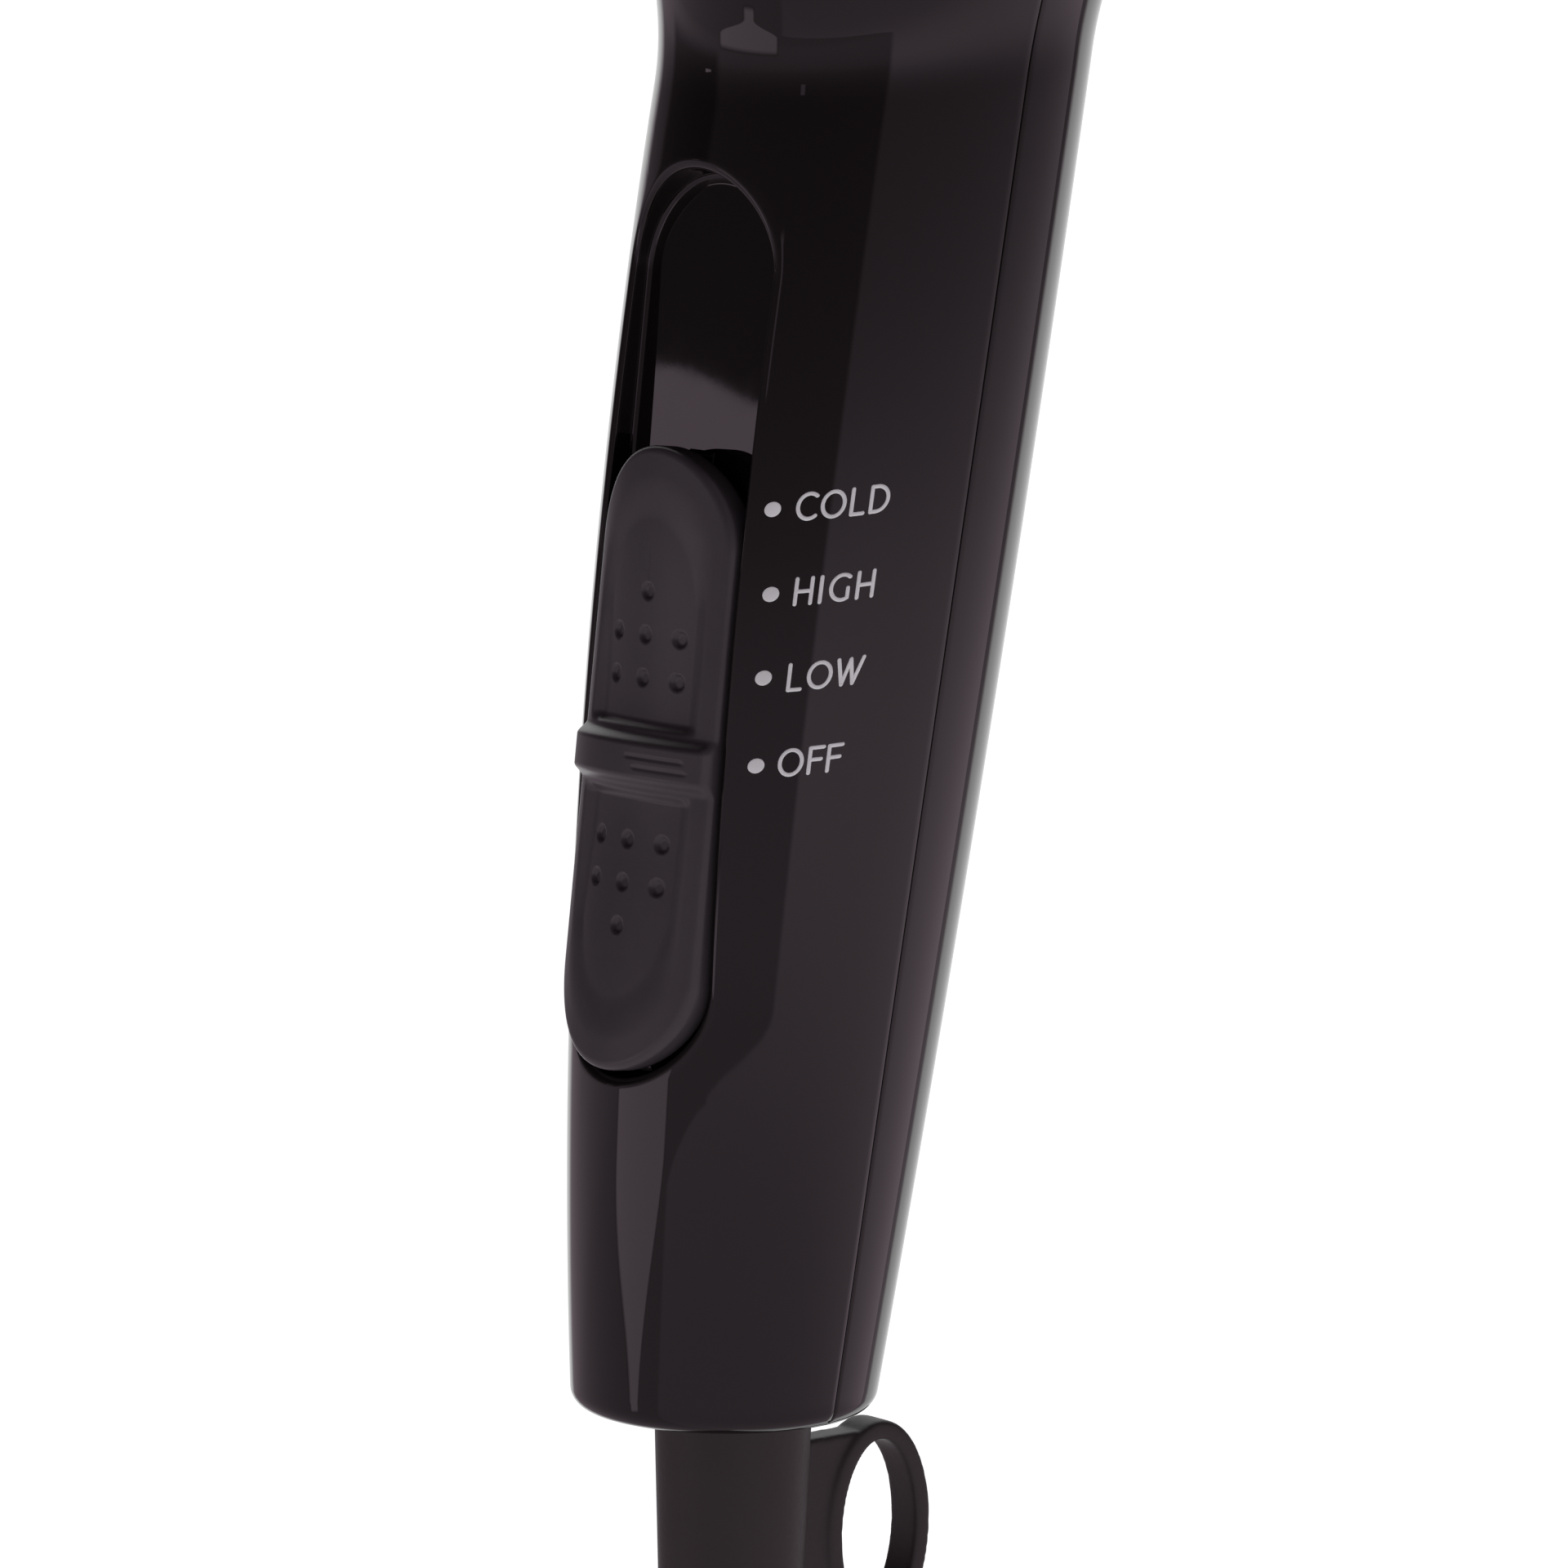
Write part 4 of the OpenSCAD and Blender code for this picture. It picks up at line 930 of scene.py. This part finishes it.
button = Shell()
rings = []
for inset in np.linspace(BUTTON_CENTRE, EDGE, 56):
    y, s = stadium(inset)
    rings.append(from_slider(button_face(y, s), y, s))
for t in np.linspace(0, math.pi / 2, 8)[1:]:
    y, s = stadium(EDGE * (1 - math.sin(t)))
    rings.append(from_slider(button_face(y, s) + EDGE * (1 - math.cos(t)), y, s))
y, s = stadium(0.0)
top, bottom = button_face(y, s) + EDGE, under_button(y)
for t in np.linspace(0, 1, 7)[1:]:
    rings.append(from_slider(top * (1 - t) + bottom * t, y, s))
for inset in np.linspace(0, BUTTON_CENTRE, 8)[1:]:
    y, s = stadium(inset)
    rings.append(from_slider(under_button(y), y, s))
button.grid(np.stack(rings), closed=True)
stem_y, stem_s = STEM_W / 2 * np.array([-1, 1, 1, -1]), STEM_LEN / 2 * np.array([-1, -1, 1, 1])
stem_rows = [from_slider(d + 0 * stem_y, k * stem_y, k * stem_s)
             for d, k in ((STEM_START, 0), (STEM_START, 1), (STEM_END, 1), (STEM_END, 0))]
button.grid(np.stack(stem_rows), closed=True)
slide_button = button.mesh("slide_button", slider_satin, (-1.0, 0.0, 0.0), merge=0.02)
print("button faces", len(slide_button.data.polygons))

# %% [markdown]
# ## The printed marks
# Four dots and four plain setting words are pad-printed beside the switch. Each letter is a few strokes
# with round ends, laid on the grip by angle and height, so that the print follows the curve and leans with
# the handle. The ink is a few hundredths of a millimetre thick.

# %% Strokes of the letters, in cap heights
STROKE, CAP, INK = 0.36, 2.6, 0.035


def bow(centre, rx, ry, start, end):
    turn = np.radians(np.linspace(start, end, 28))
    return np.stack([centre[0] + rx * np.cos(turn), centre[1] + ry * np.sin(turn)], -1)


def line(*ends):
    return np.linspace(*np.array(ends, float), 12)


LETTERS = {
    "C": (0.83, [bow((0.46, 0.5), 0.38, 0.42, 52, 308)]),
    "O": (1.00, [bow((0.45, 0.5), 0.37, 0.42, 0, 360)]),
    "L": (0.66, [line((0.08, 0.92), (0.08, 0.08)), line((0.08, 0.08), (0.48, 0.08))]),
    "D": (0.86, [line((0.08, 0.08), (0.08, 0.92)), line((0.08, 0.92), (0.26, 0.92)),
                 bow((0.26, 0.5), 0.40, 0.42, 90, -90), line((0.08, 0.08), (0.26, 0.08))]),
    "H": (0.84, [line((0.08, 0.08), (0.08, 0.92)), line((0.60, 0.08), (0.60, 0.92)),
                 line((0.08, 0.5), (0.60, 0.5))]),
    "I": (0.34, [line((0.08, 0.08), (0.08, 0.92))]),
    "G": (0.92, [bow((0.46, 0.5), 0.38, 0.42, 52, 300), line((0.66, 0.14), (0.66, 0.46))]),
    "W": (1.04, [line((0.06, 0.92), (0.22, 0.08)), line((0.22, 0.08), (0.48, 0.90)),
                 line((0.48, 0.90), (0.60, 0.08)), line((0.60, 0.08), (0.92, 0.92))]),
    "F": (0.64, [line((0.08, 0.08), (0.08, 0.92)), line((0.08, 0.92), (0.52, 0.92)),
                 line((0.08, 0.52), (0.46, 0.52))]),
}
# word, angle where it starts, height of its foot, then the dot's angle and height
MARKS = [("COLD", 223.6, -101.3, 217.6, -100.1), ("HIGH", 225.8, -108.7, 219.8, -107.5),
         ("LOW", 226.7, -116.2, 220.4, -114.8), ("OFF", 226.8, -123.7, 221.0, -122.5)]
DOT_W, DOT_H = 0.75, 0.66


# %% Lay the strokes and dots on the grip
def on_grip(x, z, angle, foot_z, lift):
    a = math.radians(angle) + x / grip_r(foot_z)
    level = foot_z + z
    p = grip_point(level, a)
    out = np.cross(grip_point(level, a + 0.001) - p, grip_point(level + 0.01, a) - p)
    return p + unit(out) * lift[..., None]


marks = Shell()
section = np.linspace(0, 2 * math.pi, 10, endpoint=False)
for word, angle, foot_z, dot_angle, dot_z in MARKS:
    pen = 0.0
    for letter in word:
        advance, strokes = LETTERS[letter]
        for path in strokes:
            path = path * CAP + [pen, 0.0]
            way = unit(np.gradient(path, axis=0))
            cap = np.linspace(math.pi / 2, 0, 5)[:-1]
            half = STROKE / 2
            # round ends: the first and last rings shrink to a point
            spine = np.concatenate([path[:1] - way[:1] * half * np.sin(cap)[:, None], path,
                                    path[-1:] + way[-1:] * half * np.sin(cap[::-1])[:, None]])
            ways = np.concatenate([way[:1].repeat(4, 0), way, way[-1:].repeat(4, 0)])
            swell = np.concatenate([np.cos(cap), np.ones(len(path)), np.cos(cap[::-1])])
            side = np.stack([-ways[:, 1], ways[:, 0]], -1)
            x = spine[:, :1] + side[:, :1] * half * swell[:, None] * np.cos(section)
            z = spine[:, 1:] + side[:, 1:] * half * swell[:, None] * np.cos(section)
            marks.grid(on_grip(x, z, angle, foot_z, INK * swell[:, None] * np.sin(section)), closed=True)
        pen += advance * CAP
    turn = np.linspace(0, 2 * math.pi, 32, endpoint=False)
    out = np.sin(np.linspace(0, math.pi, 15))[:, None]
    height = np.cos(np.linspace(0, math.pi, 15))[:, None] * INK + 0 * turn
    marks.grid(on_grip(out * DOT_W * np.cos(turn), out * DOT_H * np.sin(turn), dot_angle, dot_z, height),
               closed=True)
printed_marks = marks.mesh("printed_marks", print_silver, (-0.6, -0.75, 0.0), merge=0.0005)
print("printed faces", len(printed_marks.data.polygons))

# %% [markdown]
# ## The strain relief and its hanging loop
# A rubber sleeve guards the cord where it leaves the handle, and an oval loop beside it hangs the dryer on a
# hook. The sleeve is turned from its profile, with rings of grooves that let it bend. The loop and its web
# are fused by remeshing, which gives the soft hollow corners that moulded rubber has.

# %% Turn the sleeve
SLEEVE_LEN, BORE_R, TIP_R, TOP_SLEEVE_R, GROOVE_R, FLANGE_R, PLUG_R = 46.0, 3.6, 5.6, 7.27, 4.7, 9.47, 5.0
GROOVE_COUNT, GROOVE_STEP, GROOVE_START, GROOVE_W = 6, 3.4, 3, 1.4
END_AT = np.array([END_X, 0.0, END_Z])
END_SIDE = np.array([math.cos(END_LEAN), 0.0, -math.sin(END_LEAN)])


def from_end(x, y, z):
    x, y, z = (v[..., None] for v in np.broadcast_arrays(x, y, z))
    return END_AT + x * END_SIDE + y * SIDEWAYS + z * END_NORMAL


def round_end(along, out, angle):
    return from_end(out * np.cos(angle), out * np.sin(angle), along + 0 * angle)


def sleeve_r(z):
    return TIP_R + (TOP_SLEEVE_R - TIP_R) * (z + SLEEVE_LEN) / SLEEVE_LEN


corners = [(-SLEEVE_LEN, BORE_R, 0.3), (-SLEEVE_LEN, TIP_R, 0.7)]
for i in range(GROOVE_COUNT):
    start = -SLEEVE_LEN + GROOVE_START + i * GROOVE_STEP
    corners += [(start, sleeve_r(start), 0.25), (start + 0.1, GROOVE_R, 0.35),
                (start + GROOVE_W - 0.1, GROOVE_R, 0.35),
                (start + GROOVE_W, sleeve_r(start + GROOVE_W), 0.25)]
corners += [(-6.0, sleeve_r(-6.0), 0.5), (0.0, TOP_SLEEVE_R, 0.2), (2.3, TOP_SLEEVE_R, 0.2),
            (2.3, FLANGE_R, 0.2), (4.4, FLANGE_R, 0.3), (4.4, PLUG_R, 0.3), (7.2, PLUG_R, 0.4),
            (7.2, BORE_R, 0.2)]
sleeve = lathe(rounded(corners), 96, round_end)
sleeve = harden(sleeve.mesh("strain_relief_moulding", relief_rubber, (-1.0, 0.0, 0.0)))
print("sleeve faces", len(sleeve.data.polygons))

# %% Fuse the loop and its web
LOOP_X, LOOP_Z, LOOP_W, LOOP_LEN, BAND, LOOP_T, WEB_T = 16.7, -14.0, 9.0, 17.0, 1.8, 3.8, 3.0
loop = Shell()
a = np.linspace(0, 2 * math.pi, 97)[:-1]
half_w, half_len = LOOP_W / 2 + BAND / 2, LOOP_LEN / 2 + BAND / 2
# the opening is an oval, and the band keeps the same width all round it
oval_x, oval_z = half_w * np.cos(a), half_len * np.sin(a)
oval_out = unit(np.stack([half_len * np.cos(a), half_w * np.sin(a)], -1))
section = rounded([(-LOOP_T / 2, -BAND / 2, 0.4), (-LOOP_T / 2, BAND / 2, 0.4), (LOOP_T / 2, BAND / 2, 0.4),
                   (LOOP_T / 2, -BAND / 2, 0.4)])
band = [from_end(LOOP_X + oval_x + out * oval_out[:, 0], across + 0 * a,
                 LOOP_Z + oval_z + out * oval_out[:, 1])
        for across, out in np.concatenate([section, section[:1]])]
loop.grid(np.stack(band), closed=True)
loop_piece = loop.mesh("loop_band", relief_rubber, (1.0, 0.0, 0.0))


def fuse(piece, other):
    """Adds the other piece's mesh to the piece's, and removes the other."""
    work = bmesh.new()
    work.from_mesh(piece.data)
    work.from_mesh(other.data)
    for face in work.faces:
        face.smooth = True
    work.to_mesh(piece.data)
    work.free()
    bpy.data.objects.remove(other)


web = Shell()
web_side = LOOP_X - LOOP_W / 2
web_x = np.array([5.0, web_side + 2.4, web_side - 0.4, web_side - 0.4, web_side + 2.4, 5.0])
web_z = LOOP_Z + np.array([-9.6, -9.6, -4.0, 4.0, 9.6, 9.6])
web_sides = ((-WEB_T / 2, 0), (-WEB_T / 2, 1), (WEB_T / 2, 1), (WEB_T / 2, 0))
web.grid(np.stack([from_end(web_x.mean() + (web_x - web_x.mean()) * k, y + 0 * web_x,
                            LOOP_Z + (web_z - LOOP_Z) * k) for y, k in web_sides]), closed=True)
fuse(loop_piece, web.mesh("loop_web", relief_rubber, (0.0, 1.0, 0.0)))
harden(loop_piece, ("REMESH", {"mode": "VOXEL", "voxel_size": 0.26 * MM, "use_smooth_shade": True}),
       ("SMOOTH", {"factor": 0.5, "iterations": 4}))
fuse(sleeve, loop_piece)
print("strain relief faces", len(sleeve.data.polygons))

# %% [markdown]
# ## The ends of the barrel
# The outlet collar and the intake bell are plain turned shapes, so each is one profile swept round the
# barrel's axis. Small eased corners catch the light as moulded edges do.

# %% Turn the outlet collar and the intake bell
SPIGOT_R, SPIGOT_LEN, MOUTH_R, INNER_R = 23.0, 10.2, 21.2, 23.9
collar_end, collar_r = span("outlet_ring")[1][:2]
collar = rounded([(0.0, MOUTH_R, 0.5), (0.0, SPIGOT_R, 0.6), (SPIGOT_LEN, SPIGOT_R, 0.3),
                  (SPIGOT_LEN, collar_r, 0.45), (COLLAR_FACE, collar_r, 0.15), (COLLAR_FACE, INNER_R, 0.2),
                  (collar_end, INNER_R, 0.3), (collar_end, MOUTH_R, 0.3)])
outlet_collar = harden(lathe(collar, 160, round_x).mesh("outlet_collar", satin_black, (-1.0, 0.0, 0.0)))
plug_x, cover_end = span("intake_cover")[0][0], span("intake_cover")[1][0]
PLUG_OUT, PLUG_IN = 37.0, 35.4
# the bell's rounded back edge, then its hollow inside: distance back from the end, radius, easing
BELL_BACK = [(7.0, BARREL_R, 2.0), (4.0, 38.4, 1.6), (1.6, 36.1, 1.6), (0.5, 32.8, 1.6), (0.2, 30.3, 0.2),
             (2.2, 30.3, 0.2), (2.4, 32.7, 1.0), (3.0, 34.5, 0.8), (5.0, 36.5, 0.8), (7.0, 37.5, 0.8)]
bell = [(plug_x, PLUG_IN, 0.3), (plug_x, PLUG_OUT, 0.5), (COVER_X + 0.1, PLUG_OUT, 0.15),
        (COVER_X + 0.1, BARREL_R, 0.4)]
bell += [(cover_end - back_by, radius, eased) for back_by, radius, eased in BELL_BACK]
bell += [(COVER_X + 2.0, 37.5, 0.5), (COVER_X + 2.0, PLUG_IN, 0.3)]
intake_bell = harden(lathe(rounded(bell), 192, round_x).mesh("intake_bell", satin_black, (1.0, 0.0, 0.0)))
print("collar to x", round(collar_end, 1), "bell to x", round(cover_end, 1))

# %% [markdown]
# ## Repeated parts by rule
# The outlet's guard, the intake's slots, the lint mesh and the heater's wire all repeat one small shape by a
# rule. Geometry Nodes hold such a rule with its sizes as named inputs, and a lesson can change one and see
# the whole pattern follow. Each tree is run once here, and leaves a plain mesh.

# %% A small builder of Geometry Nodes trees
class Pattern(Nodes):
    """A tree with named sizes. piece() runs it and gives the finished piece."""

    def __init__(self, name, **sizes):
        tree = bpy.data.node_groups.new(name, "GeometryNodeTree")
        tree.interface.new_socket("Geometry", in_out="OUTPUT", socket_type="NodeSocketGeometry")
        super().__init__(tree)
        self.values = {}
        for key, value in sizes.items():
            kind = "NodeSocketInt" if isinstance(value, int) else "NodeSocketFloat"
            self.values[tree.interface.new_socket(key, in_out="INPUT", socket_type=kind).identifier] = value
        self.given = self.add("NodeGroupInput")

    def size(self, name):
        return self.given.outputs[name]

    def named(self, kind, settings=None, **inputs):
        """Adds a node whose inputs are set by name, with _ for each space."""
        node = self.add(kind, **(settings or {}))
        for key, value in inputs.items():
            self.wire(value, node.inputs[key.replace("_", " ")])
        return node.outputs[0]

    def xyz(self, x=0.0, y=0.0, z=0.0):
        return self.add("ShaderNodeCombineXYZ", x, y, z).outputs[0]

    def join(self, *parts):
        node = self.add("GeometryNodeJoinGeometry")
        for part in parts:
            self.tree.links.new(part, node.inputs[0])
        return node.outputs[0]

    def move(self, geometry, offset=(0.0, 0.0, 0.0), turn=(0.0, 0.0, 0.0)):
        node = self.add("GeometryNodeTransform")
        self.wire(geometry, node.inputs["Geometry"])
        self.wire(offset, node.inputs["Translation"])
        self.wire(turn, node.inputs["Rotation"])
        return node.outputs[0]

    def bar(self, width, height):
        return self.named("GeometryNodeCurvePrimitiveQuadrilateral", Width=width, Height=height)

    def hoop(self, radius, steps, profile):
        """A ring round Z with the given section."""
        circle = self.named("GeometryNodeCurvePrimitiveCircle", Radius=radius, Resolution=steps)
        return self.named("GeometryNodeCurveToMesh", Curve=circle, Profile_Curve=profile)

    def spokes(self, shape, count):
        """The shape, count times round the Z axis."""
        points = self.named("GeometryNodeMeshLine", Count=count, Offset=(0.0, 0.0, 0.0))
        index = self.add("GeometryNodeInputIndex").outputs[0]
        angle = self.math("DIVIDE", self.math("MULTIPLY", index, 2 * math.pi), count)
        return self.named("GeometryNodeInstanceOnPoints", Points=points, Instance=shape,
                          Rotation=self.xyz(z=angle))

    def piece(self, name, geometry, material, *modifiers):
        real = self.add("GeometryNodeRealizeInstances", geometry).outputs[0]
        painted = self.named("GeometryNodeSetMaterial", Geometry=real, Material=material)
        self.add("NodeGroupOutput", painted)
        holder = add_piece(name, bpy.data.meshes.new(name), material)
        build = holder.modifiers.new("pattern", "NODES")
        build.node_group = self.tree
        for identifier, value in self.values.items():
            build[identifier] = value
        return harden(holder, *modifiers)


SOFT_EDGE = ("BEVEL", {"width": 0.22 * MM, "segments": 2, "limit_method": "ANGLE",
                       "angle_limit": math.radians(40)})
UPRIGHT = (0.0, math.pi / 2, 0.0)

# %% The outlet's guard: four rings and eight spokes
RINGS, RIM_R, RIM_W = (5.0, 9.0, 13.0, 17.0), 20.3, 1.8
SPOKE_LEN, SPOKE_AT = 15.6, 12.6
guard_low, guard_high = span("outlet_grille")
guard = Pattern("guard", bar=1.0 * MM, deep=(guard_high[0] - guard_low[0]) * MM, spokes=8)
deep = guard.size("deep")
thin = guard.bar(guard.size("bar"), deep)
hoops = [guard.hoop(radius * MM, 96, thin) for radius in RINGS]
hoops.append(guard.hoop(RIM_R * MM, 96, guard.bar(RIM_W * MM, deep)))
spoke = guard.named("GeometryNodeMeshCube", Size=guard.xyz(SPOKE_LEN * MM, guard.size("bar"), deep))
spoke = guard.move(spoke, (SPOKE_AT * MM, 0.0, 0.0))
whole = guard.join(*hoops, guard.spokes(spoke, guard.size("spokes")))
whole = guard.move(whole, ((guard_low[0] + guard_high[0]) / 2 * MM, 0.0, 0.0), UPRIGHT)
outlet_guard = guard.piece("outlet_guard", whole, satin_black, SOFT_EDGE)
print("guard", [round(v, 1) for v in np.array(outlet_guard.bound_box).min(0) / MM])

# %% The intake's slotted plate
ROWS = [(8.0, 6), (14.0, 12), (20.0, 18), (26.0, 24)]
ROW_TURN, CUT_DEPTH = math.radians(9), 4.0
plate = Pattern("intake_slots", slot_length=3.8 * MM, slot_width=2.6 * MM, plate_radius=30.6 * MM,
                thick=1.8 * MM)
disc = plate.named("GeometryNodeMeshCylinder", Vertices=128, Radius=plate.size("plate_radius"),
                   Depth=plate.size("thick"))
for row, (radius, count) in enumerate(ROWS):
    box = plate.xyz(plate.size("slot_length"), plate.size("slot_width"), CUT_DEPTH * MM)
    tool = plate.named("GeometryNodeMeshCube", Size=box)
    tool = plate.move(tool, (radius * MM, 0.0, 0.0))
    ring = plate.add("GeometryNodeRealizeInstances", plate.spokes(tool, count)).outputs[0]
    ring = plate.move(ring, turn=(0.0, 0.0, ROW_TURN * row))
    punch = plate.add("GeometryNodeMeshBoolean", operation="DIFFERENCE")
    plate.wire(disc, punch.inputs["Mesh 1"])
    plate.wire(ring, punch.inputs["Mesh 2"])
    disc = punch.outputs[0]
disc = plate.move(disc, ((cover_end - 0.9) * MM, 0.0, 0.0), UPRIGHT)
intake_plate = plate.piece("intake_plate", disc, satin_black, SOFT_EDGE)
print("plate faces", len(intake_plate.data.polygons))

# %% The lint filter: a ring and two layers of fine wire
lint_low, lint_high = span("lint_filter")
OUTER_WIRE, RIM_BAR = 35.8, 1.9
lint = Pattern("lint_wires", wire_radius=0.14 * MM, wires=49, frame_radius=36.3 * MM)
row = lint.named("GeometryNodeMeshLine", {"mode": "END_POINTS"}, Count=lint.size("wires"),
                 Start_Location=(0.0, -OUTER_WIRE * MM, 0.0), Offset=(0.0, OUTER_WIRE * MM, 0.0))
here = lint.add("ShaderNodeSeparateXYZ", lint.add("GeometryNodeInputPosition").outputs[0]).outputs[1]
radius = lint.size("frame_radius")
chord = lint.math("SQRT", lint.math("SUBTRACT", lint.math("MULTIPLY", radius, radius),
                                    lint.math("MULTIPLY", here, here)))
wire = lint.named("GeometryNodeMeshCylinder", Vertices=6, Radius=lint.size("wire_radius"), Depth=2.0)
layer = lint.named("GeometryNodeInstanceOnPoints", Points=row, Instance=wire, Scale=lint.xyz(1.0, 1.0, chord))
layer = lint.add("GeometryNodeRealizeInstances", layer).outputs[0]
crossed = lint.move(layer, (0.12 * MM, 0.0, 0.0), (math.pi / 2, 0.0, 0.0))
rim = lint.move(lint.hoop(radius, 128, lint.bar(RIM_BAR * MM, RIM_BAR * MM)), turn=UPRIGHT)
lint_at = (lint_low[0] + lint_high[0]) / 2 * MM
screen = lint.move(lint.join(layer, crossed, rim), (lint_at, 0.0, 0.0))
lint_screen = lint.piece("lint_screen", screen, filter_mesh)
print("lint faces", len(lint_screen.data.polygons))


# %% The heater's coiled wire
def coiled_wire(name, node):
    """A fine coil, itself wound round the boards, inside the CAD coil's box."""
    low, high = span(node)
    coil = Pattern(name, turns=9.0, small_turns=1000.0, small_radius=0.42 * MM, wire_radius=0.14 * MM,
                   start=(low[0] + 0.6) * MM, length=(high[0] - low[0] - 1.2) * MM,
                   radius=(high[1] - 0.62) * MM, points=8000)
    share = coil.math("DIVIDE", coil.add("GeometryNodeInputIndex").outputs[0], coil.size("points"))
    big = coil.math("MULTIPLY", coil.math("MULTIPLY", share, coil.size("turns")), 2 * math.pi)
    small = coil.math("MULTIPLY", coil.math("MULTIPLY", share, coil.size("small_turns")), 2 * math.pi)
    out = coil.math("ADD", coil.size("radius"),
                    coil.math("MULTIPLY", coil.size("small_radius"), coil.math("COSINE", small)))
    centre = coil.math("ADD", coil.size("start"), coil.math("MULTIPLY", share, coil.size("length")))
    x = coil.math("ADD", centre, coil.math("MULTIPLY", coil.size("small_radius"), coil.math("SINE", small)))
    spot = coil.xyz(x, coil.math("MULTIPLY", out, coil.math("COSINE", big)),
                    coil.math("MULTIPLY", out, coil.math("SINE", big)))
    path = coil.named("GeometryNodeMeshLine", Count=coil.size("points"), Offset=(0.0, 0.0, MM))
    path = coil.named("GeometryNodeSetPosition", Geometry=path, Position=spot)
    path = coil.named("GeometryNodeMeshToCurve", Mesh=path)
    ring = coil.named("GeometryNodeCurvePrimitiveCircle", Radius=coil.size("wire_radius"), Resolution=5)
    wire = coil.named("GeometryNodeCurveToMesh", Curve=path, Profile_Curve=ring, Fill_Caps=True)
    smooth_wire = coil.named("GeometryNodeSetShadeSmooth", Geometry=wire)
    return coil.piece(name, smooth_wire, heater_wire)


coils = {node: coiled_wire(node + "_wire", node) for node in ("heater_coil_high", "heater_coil_low")}
print("coil faces", [len(c.data.polygons) for c in coils.values()])

# %% [markdown]
# ## Put every piece in the frame
# Each made piece rides on its moving body and stands for a CAD node. The other nodes stay as they are and
# only take a finish, by the material slot that the record gives them.

# %% Ride, replace and finish
SLOTS = {"gloss_black": gloss_black, "satin_black": satin_black, "slider_satin": slider_satin,
         "relief_rubber": relief_rubber, "soft_rubber": soft_rubber, "filter_mesh": filter_mesh,
         "heat_resin": heat_resin, "motor_steel": steel, "core_steel": core_steel, "magnet_grey": ferrite,
         "bronze": bronze, "copper": copper, "carbon": carbon, "mica": mica, "heater_wire": heater_wire,
         "ceramic": ceramic, "board_green": board_green, "lead_cover": lead_cover}
PLACES = [(shells["front_shell"], "housing", "gloss_black", ["front_housing"]),
          (shells["rear_shell"], "housing", "gloss_black", ["rear_housing"]),
          (screw_tube, "housing", "gloss_black", []),
          (slide_button, "slider", "slider_satin", ["slider_button"]),
          (printed_marks, "housing", "slider_satin", []),
          (sleeve, "housing", "relief_rubber", ["strain_relief"]),
          (outlet_collar, "housing", "satin_black", ["outlet_ring"]),
          (outlet_guard, "housing", "satin_black", ["outlet_grille"]),
          (intake_bell, "cover", "satin_black", ["intake_cover"]),
          (intake_plate, "cover", "satin_black", []),
          (lint_screen, "cover", "filter_mesh", ["lint_filter"]),
          (coils["heater_coil_high"], "housing", "heater_wire", ["heater_coil_high"]),
          (coils["heater_coil_low"], "housing", "heater_wire", ["heater_coil_low"])]
replaced = set()
for piece, body, slot_name, stands_for in PLACES:
    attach(piece, body)
    if stands_for:
        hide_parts(*stands_for)
    replaced |= set(stands_for)
for entry in frame["record"]["subparts"]:
    if entry["node"] not in replaced:
        node = nodes[entry["node"]]
        node.data.materials.clear()
        node.data.materials.append(SLOTS[entry["material_slot"]])
print("pieces", len(PLACES), "faces", sum(len(p[0].data.polygons) for p in PLACES))
